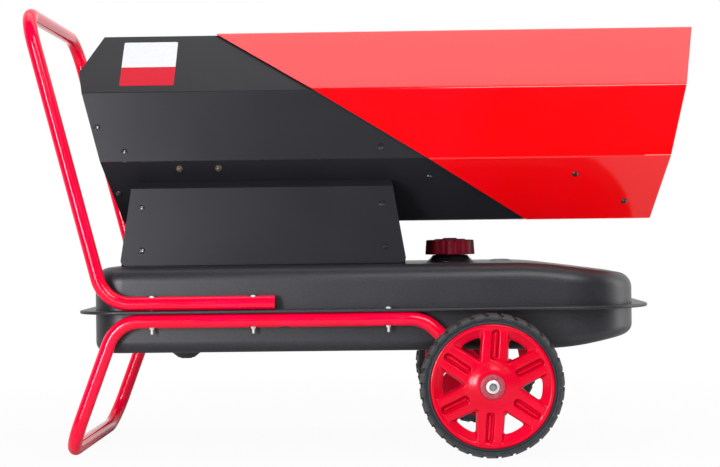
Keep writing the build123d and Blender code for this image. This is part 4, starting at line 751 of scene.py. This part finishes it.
# ------------------------------------------------------------------ fuel tank and drain
# Two deep-drawn steel halves welded at a flange, in a satin black powder coat with a fine, even
# orange peel. Under the rear a drain plug with a hexagon socket closes the sump.
tank_black = Finish("tank_powder_coat", Specular_IOR_Level=0.5)
grain = tank_black.span(tank_black.noise(1.3, 2.0), 0.35, 0.65)
tank_black.feed("Base Color", tank_black.between(grain, colour(24, 24, 28), colour(44, 44, 49)))
tank_black.feed("Roughness", tank_black.patchy(40.0, 0.38, 0.43, detail=2.0))
tank_black.bumps(tank_black.noise(1.8, 2.0), 0.12)
black_oxide = plated("black_oxide", colour(14, 14, 15), colour(26, 26, 28), (0.14, 0.26), 0.3)
for node, material in (
    ("tank_upper_shell", tank_black.material), ("tank_lower_shell", tank_black.material),
    ("drain_plug", black_oxide),
):
    paint_node(node, material)

# ------------------------------------------------------------------ filler neck and its cap
# The neck is black plastic with a coarse thread under the cap. The cap is moulded of dark red
# plastic: eight rounded lobes, a little wider at the foot, round a low stepped middle.
FILLER = Vector((157.0, 0.0, 0.0)) * MM
NECK_FOOT = (
    (24.5, 326.0), (25.8, 326.0), (25.8, 334.0), (44.0, 334.0), (44.0, 335.1), (42.8, 336.1),
    (38.0, 340.0), (34.2, 344.0), (32.4, 346.2), (31.5, 346.5), (27.6, 346.5),
)
NECK_LIP = ((27.6, 367.6), (27.0, 368.5), (27.0, 367.0), (24.5, 367.0))
NECK_THREAD = 348.6
NECK_PITCH = 6.0
neck_thread = []
for turn in range(3):
    start = NECK_THREAD + NECK_PITCH * turn
    neck_thread += [(27.6, start), (29.0, start + 1.2), (29.0, start + 2.6), (27.6, start + 3.8)]
neck_section = (*NECK_FOOT, *neck_thread, *NECK_LIP)
neck = turned("filler_neck_turned", neck_section, FILLER, UP, RIGHTWARD, 72)
neck_black = enamel("neck_black", colour(14, 15, 15), colour(22, 23, 23), (0.28, 0.4), 0.9, 0.02)
fitted(neck, neck_black, "heater", "black_plastic", "filler_neck")

CAP_LOBES = 8
CAP_SECTION = (
    (0, 378.5), (11.7, 378.5), (12.6, 378.1), (13.2, 376.7), (27.6, 376.6), (28.6, 376.2),
    (29.2, 375.1), (39.0, 375.0), (40.6, 374.2), (41.2, 347.8), (40.8, 347.5), (0, 347.5),
)
CAP_HOLLOW = ((0, 340.0), (31.0, 340.0), (31.0, 371.0), (0, 371.0))
LOBE_R = 11.5
LOBE_HEIGHT = 27.2
LOBE_PLACE = Vector((34.9, 0, 361.1)) * MM
LOBE_UPPER = 0.37  # metres; only a lobe's top is above this
CAP_VOXEL = 0.9
cap = turned("fuel_cap_moulded", CAP_SECTION, FILLER, UP, RIGHTWARD, 96)
lobe = started(
    bpy.ops.mesh.primitive_cylinder_add, "lobe", vertices=36, radius=LOBE_R * MM,
    depth=LOBE_HEIGHT * MM, location=FILLER + LOBE_PLACE,
)
pick(lobe, "VERT", lambda corner, _: corner.z > LOBE_UPPER)
bpy.ops.transform.resize(value=(0.96, 0.96, 1), center_override=FILLER)
pick(lobe, "EDGE", lambda _, edge: all(corner.co.z > LOBE_UPPER for corner in edge.verts))
bpy.ops.mesh.bevel(offset=1.8 * MM, segments=4, affect="EDGES")
cap = joined(cap, ringed(closed(lobe), CAP_LOBES, FILLER, UP))
moulded(cap, CAP_VOXEL, 2)
hollow = turned("hollow", CAP_HOLLOW, FILLER, UP, RIGHTWARD, 72)
shaped(cap, "BOOLEAN", operation="DIFFERENCE", object=hollow, solver="EXACT")
bpy.data.objects.remove(hollow)
cap_maroon = Finish("cap_maroon", Specular_IOR_Level=0.12)
flow = cap_maroon.patchy(14.0)
cap_maroon.feed("Base Color", cap_maroon.between(flow, colour(90, 3, 20), colour(112, 5, 28)))
cap_maroon.feed("Roughness", cap_maroon.patchy(6.0, 0.4, 0.5))
cap_maroon.bumps(cap_maroon.noise(2.2, 2.0), 0.03)
fitted(cap, cap_maroon.material, "cap", "cap_maroon", "fuel_cap", crease=50)

seal_rubber = enamel("seal_rubber", colour(24, 24, 24), colour(34, 34, 34), (0.5, 0.7), 0.8, 0.03)
strainer_white = enamel(
    "strainer_plastic", colour(214, 214, 206), colour(228, 228, 220), (0.4, 0.5), 1.0, 0.02
)
paint_node("cap_seal", seal_rubber)
paint_node("filler_strainer", strainer_white)

# ------------------------------------------------------------------ fuel gauge
# A low dome of clear plastic over a white dial with black marks and a red needle. The can below
# goes into the tank, where a float on a steel arm turns the needle.
GAUGE = Vector((251.0, 0.0, 0.0)) * MM
DIAL_TOP = 335.45  # mm, where the can is cut off under the dome
DIAL_FACE = 0.3353  # metres; marks go only on what is above this
MARK_STEP = pi / 12  # half the angle from mark to mark
MARK_HALF = 0.035  # half a mark's width, also an angle
MARKS_FROM = 0.0115
MARKS_TO = 0.0155
DOME_SECTION = (
    (0, 338.4), (8.0, 338.35), (14.0, 338.0), (18.2, 337.2), (20.3, 336.0), (21.0, 334.8),
    (21.0, 334.0), (19.7, 334.0), (19.6, 335.2), (18.6, 336.2), (14.0, 337.0), (8.0, 337.35),
    (0, 337.4),
)
dome = turned("gauge_dome_moulded", DOME_SECTION, GAUGE, UP, RIGHTWARD, 72)
clear = Finish("gauge_clear", Alpha=0.8, Specular_IOR_Level=0.25)
haze = clear.noise(8.0)
clear.feed("Base Color", clear.between(haze, colour(122, 120, 124), colour(148, 146, 150)))
clear.feed("Roughness", clear.patchy(2.0, 0.2, 0.3, detail=4.0))
fitted(dome, clear.material, "heater", "gauge_clear", "gauge_lens")


def cad_copy(node, name):
    """A CAD node's mesh, copied and merged, as the start of a shaped piece."""
    bpy.ops.object.select_all(action="DESELECT")
    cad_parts[node].select_set(True)
    bpy.context.view_layer.objects.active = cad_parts[node]
    bpy.ops.object.duplicate()
    piece = bpy.context.object
    piece.name = name
    opened(piece)
    return closed(piece)


can = cad_copy("gauge_body", "gauge_can_trimmed")
opened(can)
bpy.ops.mesh.bisect(
    plane_co=(0, 0, DIAL_TOP * MM), plane_no=(0, 0, 1), clear_outer=True, use_fill=True
)
pick(can, "VERT", lambda middle, _: (middle - GAUGE).xy.length > 19.5 * MM)
bpy.ops.transform.resize(value=(0.92, 0.92, 1), center_override=GAUGE)
closed(can)
dial = Finish("gauge_dial", Specular_IOR_Level=0.4)
from_pin = dial.vector("SUBTRACT", dial.place, GAUGE)
split_up = dial.node("SeparateXYZ", sockets={0: from_pin})
turn_round = dial.maths("ARCTAN2", split_up.out("Y"), split_up.out("X"))
off_mark = dial.maths("PINGPONG", turn_round, MARK_STEP)
from_middle = dial.length(dial.vector("MULTIPLY", from_pin, (1, 1, 0)))
in_ring = (from_middle > MARKS_FROM) * (from_middle < MARKS_TO)
marks = (off_mark < MARK_HALF) * in_ring * (split_up.out("Z") > DIAL_FACE)
shade = dial.between(dial.noise(4.0), colour(206, 206, 204), colour(222, 222, 220))
dial.feed("Base Color", dial.between(marks, shade, colour(26, 26, 28)))
dial.feed("Roughness", dial.patchy(2.0, 0.4, 0.55))
fitted(can, dial.material, "heater", "black_plastic", "gauge_body")

needle_red = enamel("needle_red", colour(204, 16, 12), colour(216, 24, 18), (0.24, 0.34), 1.0, 0.01)
float_foam = enamel(
    "float_foam", colour(196, 190, 176), colour(214, 208, 194), (0.6, 0.8), 0.9, 0.08
)
for node, material in (
    ("gauge_needle", needle_red), ("gauge_arm", axle_steel), ("gauge_float", float_foam),
):
    paint_node(node, material)

# ------------------------------------------------------------------ box, casing and rear guard
# Folded sheet steel in a smooth satin black powder coat, with tight bends. Dark pan-headed screws
# hold the panels, and yellow-plated hexagon screws with washers hold the motor's bracket.
casing_black = Finish("casing_black", Specular_IOR_Level=0.22)
drift = casing_black.span(casing_black.noise(160.0, 3.0), 0.35, 0.65)
casing_black.feed("Base Color", casing_black.between(drift, colour(31, 31, 35), colour(34, 34, 38)))
casing_black.feed("Roughness", casing_black.patchy(120.0, 0.3, 0.33, detail=2.0))
casing_black.bumps(casing_black.noise(1.0, 2.0), 0.03)
screw_black = Finish("screw_black", Specular_IOR_Level=0.9, Coat_Weight=1.0, Coat_Roughness=0.1)
oiled = screw_black.noise(1.5, 3.0)
screw_black.feed("Base Color", screw_black.between(oiled, colour(14, 14, 15), colour(44, 42, 40)))
screw_black.feed("Roughness", screw_black.span(oiled, 0.3, 0.7, 0.12, 0.24))
yellow_zinc = plated(
    "yellow_zinc", colour(96, 88, 72), colour(160, 148, 122), (0.18, 0.3), 0.7, mottle_mm=3.0
)
for node, name, rounding, material, slot_name in (
    ("panel_screws", "panel_screws_rounded", 0.7, screw_black.material, "screw_black"),
    ("motor_mount_screws", "motor_screws_rounded", 0.5, yellow_zinc, "yellow_zinc"),
):
    screws = cad_copy(node, name)
    shaped(
        screws, "BEVEL", width=rounding * MM, segments=3, limit_method="ANGLE",
        angle_limit=radians(25),
    )
    opened(screws)
    fitted(closed(screws), material, "heater", slot_name, node, crease=50)
for node in (
    "casing_upper", "casing_lower", "box_base", "box_panel_left", "box_panel_right", "fan_guard",
):
    paint_node(node, casing_black.material)

# ------------------------------------------------------------------ red hood
# Two shells folded from steel sheet and powder-coated in gloss red. They lap over the black casing
# along a slanting edge, where screws hold them to it.
hood_red = Finish("hood_red", Specular_IOR_Level=0.5, Coat_Weight=0.4, Coat_Roughness=0.05)
drift = hood_red.span(hood_red.noise(200.0, 2.0), 0.35, 0.65)
hood_red.feed("Base Color", hood_red.between(drift, colour(238, 0, 4), colour(246, 0, 14)))
hood_red.feed("Roughness", hood_red.patchy(160.0, 0.11, 0.15, detail=2.0))
hood_red.bumps(hood_red.noise(4.0, 2.0), 0.003)
for node in ("hood_upper", "hood_lower"):
    paint_node(node, hood_red.material)

# ------------------------------------------------------------------ blank label
# A thin plastic film with rounded corners, stuck on the upper slanted face. It is left without
# words: white above and red below.
LABEL_SPLIT = 0.6945  # metres above the floor, where the white ends
label = Finish("label_film", Specular_IOR_Level=0.2)
height = label.node("SeparateXYZ", sockets={0: label.place}).out("Z")
ink = label.between(label.noise(6.0), colour(178, 2, 30), colour(192, 6, 38))
paper_white = label.between(label.noise(9.0), colour(196, 197, 199), colour(206, 207, 209))
label.feed("Base Color", label.between(height > LABEL_SPLIT, ink, paper_white))
label.feed("Roughness", label.patchy(5.0, 0.34, 0.46))
label.bumps(label.noise(2.0, 2.0), 0.01)
paint_node("label_plate", label.material)

# ------------------------------------------------------------------ fan and its ring
# Five cambered, twisted blades of cast aluminium on a round hub, inside a ring of galvanised
# sheet. The motor behind it has a cast housing and carries the air pump.
FAN = Vector((-400.0, 0.0, 584.0)) * MM
REARWARD = Vector((-1, 0, 0))
BLADES = 5
ROOT_PITCH = radians(38)
BLADE_STEPS = 7
STEP_OUT = 19.0  # mm
STEP_WIDER = 1.08
STEP_TWIST = radians(2.6)
CAMBER = 4.0
HALF_CHORD = 26
FAN_REACH = ((0, -40.0), (147.8, -40.0), (147.8, 40.0), (0, 40.0))
FAN_HUB = (
    (7.1, -20.0), (28.0, -20.0), (30.0, -18.0), (30.0, 10.0), (28.6, 15.0), (24.5, 18.4),
    (18.0, 20.0), (13.0, 20.0), (12.0, 18.6), (7.1, 18.6),
)
chord = Vector((sin(ROOT_PITCH), cos(ROOT_PITCH), 0))
normal = Vector((cos(ROOT_PITCH), -sin(ROOT_PITCH), 0))
root = FAN + UP * 20 * MM
camber = [
    root + (chord * across + normal * CAMBER * (1 - (across / HALF_CHORD) ** 2)) * MM
    for across in (-HALF_CHORD, -19, -10, 0, 10, 19, HALF_CHORD)
]
blade = traced("fan_blade", camber, ring=False)
for _ in range(BLADE_STEPS):
    bpy.ops.mesh.extrude_edges_move(
        MESH_OT_extrude_edges_indiv={}, TRANSFORM_OT_translate={"value": (0, 0, STEP_OUT * MM)}
    )
    bpy.ops.transform.resize(value=(STEP_WIDER, STEP_WIDER, 1), center_override=FAN)
    bpy.ops.transform.rotate(value=STEP_TWIST, orient_axis="Z", center_override=FAN)
bpy.ops.object.mode_set(mode="OBJECT")
shaped(blade, "SOLIDIFY", thickness=1.8 * MM, offset=0.0)
shaped(blade, "SUBSURF", levels=1)
reach = turned("reach", FAN_REACH, FAN, REARWARD, UP, 96)
shaped(blade, "BOOLEAN", operation="INTERSECT", object=reach, solver="EXACT")
bpy.data.objects.remove(reach)
blades = ringed(blade, BLADES, FAN, REARWARD)
fan = joined(turned("fan_cast", FAN_HUB, FAN, REARWARD, UP, 64), blades)
cast_aluminium = plated(
    "cast_aluminium", colour(150, 152, 154), colour(178, 180, 182), (0.38, 0.55), 0.85,
    mottle_mm=3.0,
)
fitted(fan, cast_aluminium, "rotor", "aluminium_cast", "fan")

galvanised = plated(
    "galvanised_sheet", colour(142, 146, 148), colour(186, 190, 192), (0.32, 0.5), 0.85,
    mottle_mm=9.0,
)
for node, material in (
    ("fan_shroud", galvanised), ("motor", cast_aluminium), ("motor_shaft", axle_steel),
    ("motor_bracket", cast_aluminium), ("air_pump", cast_aluminium),
    ("chamber_brackets", galvanised),
):
    paint_node(node, material)

# ------------------------------------------------------------------ burner and chamber
# Rolled heat-proof stainless sheet, stained, and browned and blued towards the mouth, where the
# flame has heated it. The nozzle and the suction pipe are brass, the fuel line copper.
HEAT_EDGE = (0.30, 0.50)  # metres ahead of the middle, between which the steel changes colour
chamber = Finish("chamber_steel", Metallic=0.9)
distance = chamber.node("SeparateXYZ", sockets={0: chamber.place}).out("X")
wander = (chamber.noise(60.0, 3.0) - 0.5) * 0.12
heated = chamber.span(distance + wander, *HEAT_EDGE)
tinted = chamber.node(
    "ValToRGB",
    {"stops": (
        (0.0, colour(168, 166, 160)), (0.45, colour(176, 156, 118)), (0.7, colour(150, 112, 96)),
        (1.0, colour(112, 104, 118)),
    )},
    {0: heated},
).out("Color")
stains = chamber.patchy(5.0, 0.0, 0.3, detail=4.0)
chamber.feed("Base Color", chamber.between(stains, tinted, colour(96, 88, 80)))
chamber.feed("Roughness", chamber.patchy(3.0, 0.3, 0.52, detail=5.0))
chamber.bumps(chamber.noise(1.5, 4.0), 0.03)
brass = plated("brass", colour(168, 132, 66), colour(196, 160, 88), (0.25, 0.4), 1.0, mottle_mm=3.0)
copper = plated(
    "copper", colour(168, 96, 62), colour(196, 120, 82), (0.25, 0.42), 1.0, mottle_mm=8.0
)
ceramic = enamel(
    "glazed_ceramic", colour(222, 218, 206), colour(234, 231, 220), (0.12, 0.22), 2.0, 0.01
)
for node, material in (
    ("combustion_chamber", chamber.material), ("chamber_baffle", chamber.material),
    ("burner_head", chamber.material), ("nozzle", brass), ("suction_pipe", brass),
    ("fuel_line", copper), ("fuel_filter", strainer_white), ("electrodes", ceramic),
    ("photocell", black_plastic),
):
    paint_node(node, material)

# ------------------------------------------------------------------ controls on the far side
# A moulded grey plate with a ribbed thermostat knob, a rocker, a reset button, a green lamp and a
# cord gland. The dial's marks are plain raised strokes round the knob.
KNOB = Vector((-35.0, 183.0, 410.0)) * MM
FAR = Vector((0, 1, 0))
KNOB_SECTION = (
    (0, -13.4), (3.0, -13.4), (3.0, 0.4), (17.0, 0.4), (17.0, 5.2), (16.2, 6.4), (13.8, 6.8),
    (13.2, 15.2), (12.2, 16.3), (10.0, 16.4), (8.8, 15.9), (0, 15.9),
)
KNOB_RIBS = 24
knob = turned("thermostat_knob_moulded", KNOB_SECTION, KNOB, FAR, UP, 72)
grip = started(
    bpy.ops.mesh.primitive_cylinder_add, "grip", vertices=10, radius=0.9 * MM, depth=9.4 * MM,
    rotation=(pi / 2, 0, 0), location=KNOB + Vector((0, 10.8, 13.3)) * MM,
)
grip_end = KNOB.y + 0.015
pick(grip, "EDGE", lambda _, edge: all(corner.co.y > grip_end for corner in edge.verts))
bpy.ops.mesh.bevel(offset=0.5 * MM, segments=2, affect="EDGES")
knob = joined(knob, ringed(closed(grip), KNOB_RIBS, KNOB, FAR))
fitted(knob, black_plastic, "knob", "black_plastic", "thermostat_knob")

STROKES = 11
STROKE_SWEEP = radians(270)
STROKE_R = 23.6
STROKE_SIZE = (1.1, 0.8, 4.4)
stroke_foot = KNOB + Vector((0, 0, STROKE_R)) * MM
strokes = started(
    bpy.ops.mesh.primitive_cube_add, "dial_strokes_raised", size=MM, scale=STROKE_SIZE,
    location=KNOB + Vector((0, 0.1, STROKE_R)) * MM,
)
pick(strokes, "FACE", lambda _, face: face.normal.y > 0.9)
bpy.ops.transform.resize(value=(0.7, 1, 0.9), center_override=stroke_foot)
bpy.ops.mesh.select_all(action="SELECT")
bpy.ops.transform.rotate(value=-STROKE_SWEEP / 2, orient_axis="Y", center_override=KNOB)
bpy.ops.mesh.spin(
    steps=STROKES - 1, dupli=True, angle=STROKE_SWEEP, center=KNOB, axis=FAR
)
stroke_white = enamel(
    "stroke_white", colour(208, 208, 206), colour(226, 226, 224), (0.4, 0.5), 0.8, 0.01
)
fitted(closed(strokes), stroke_white, "heater", "label_blank")

control_grey = enamel(
    "control_grey", colour(78, 80, 83), colour(92, 94, 97), (0.42, 0.55), 0.8, 0.05
)
reset_red = enamel("reset_red", colour(196, 14, 12), colour(212, 20, 16), (0.2, 0.3), 1.5, 0.01)
lamp_green = Finish("lamp_green", Transmission_Weight=0.4, IOR=1.49)
cloudy = lamp_green.noise(2.0)
lamp_green.feed("Base Color", lamp_green.between(cloudy, colour(20, 150, 60), colour(60, 200, 96)))
lamp_green.feed("Roughness", lamp_green.patchy(2.0, 0.08, 0.16))
potting = enamel("transformer_case", colour(30, 30, 33), colour(44, 44, 48), (0.35, 0.5), 2.0, 0.06)
board = Finish("circuit_board", Specular_IOR_Level=0.5)
tracks = board.node(
    "TexBrick", {"offset": 0.5},
    {"Vector": board.place, "Scale": 260.0, "Mortar Size": 0.09, "Color1": colour(16, 92, 44),
     "Color2": colour(20, 104, 50), "Mortar": colour(46, 136, 76)},
).out("Color")
board.feed("Base Color", board.between(board.noise(3.0), tracks, colour(14, 80, 38)))
board.feed("Roughness", board.patchy(2.0, 0.25, 0.4))
for node, material in (
    ("control_plate", control_grey), ("power_rocker", black_plastic), ("reset_button", reset_red),
    ("indicator_lens", lamp_green.material), ("cord_gland", black_plastic),
    ("ignition_transformer", potting), ("control_board", board.material),
):
    paint_node(node, material)
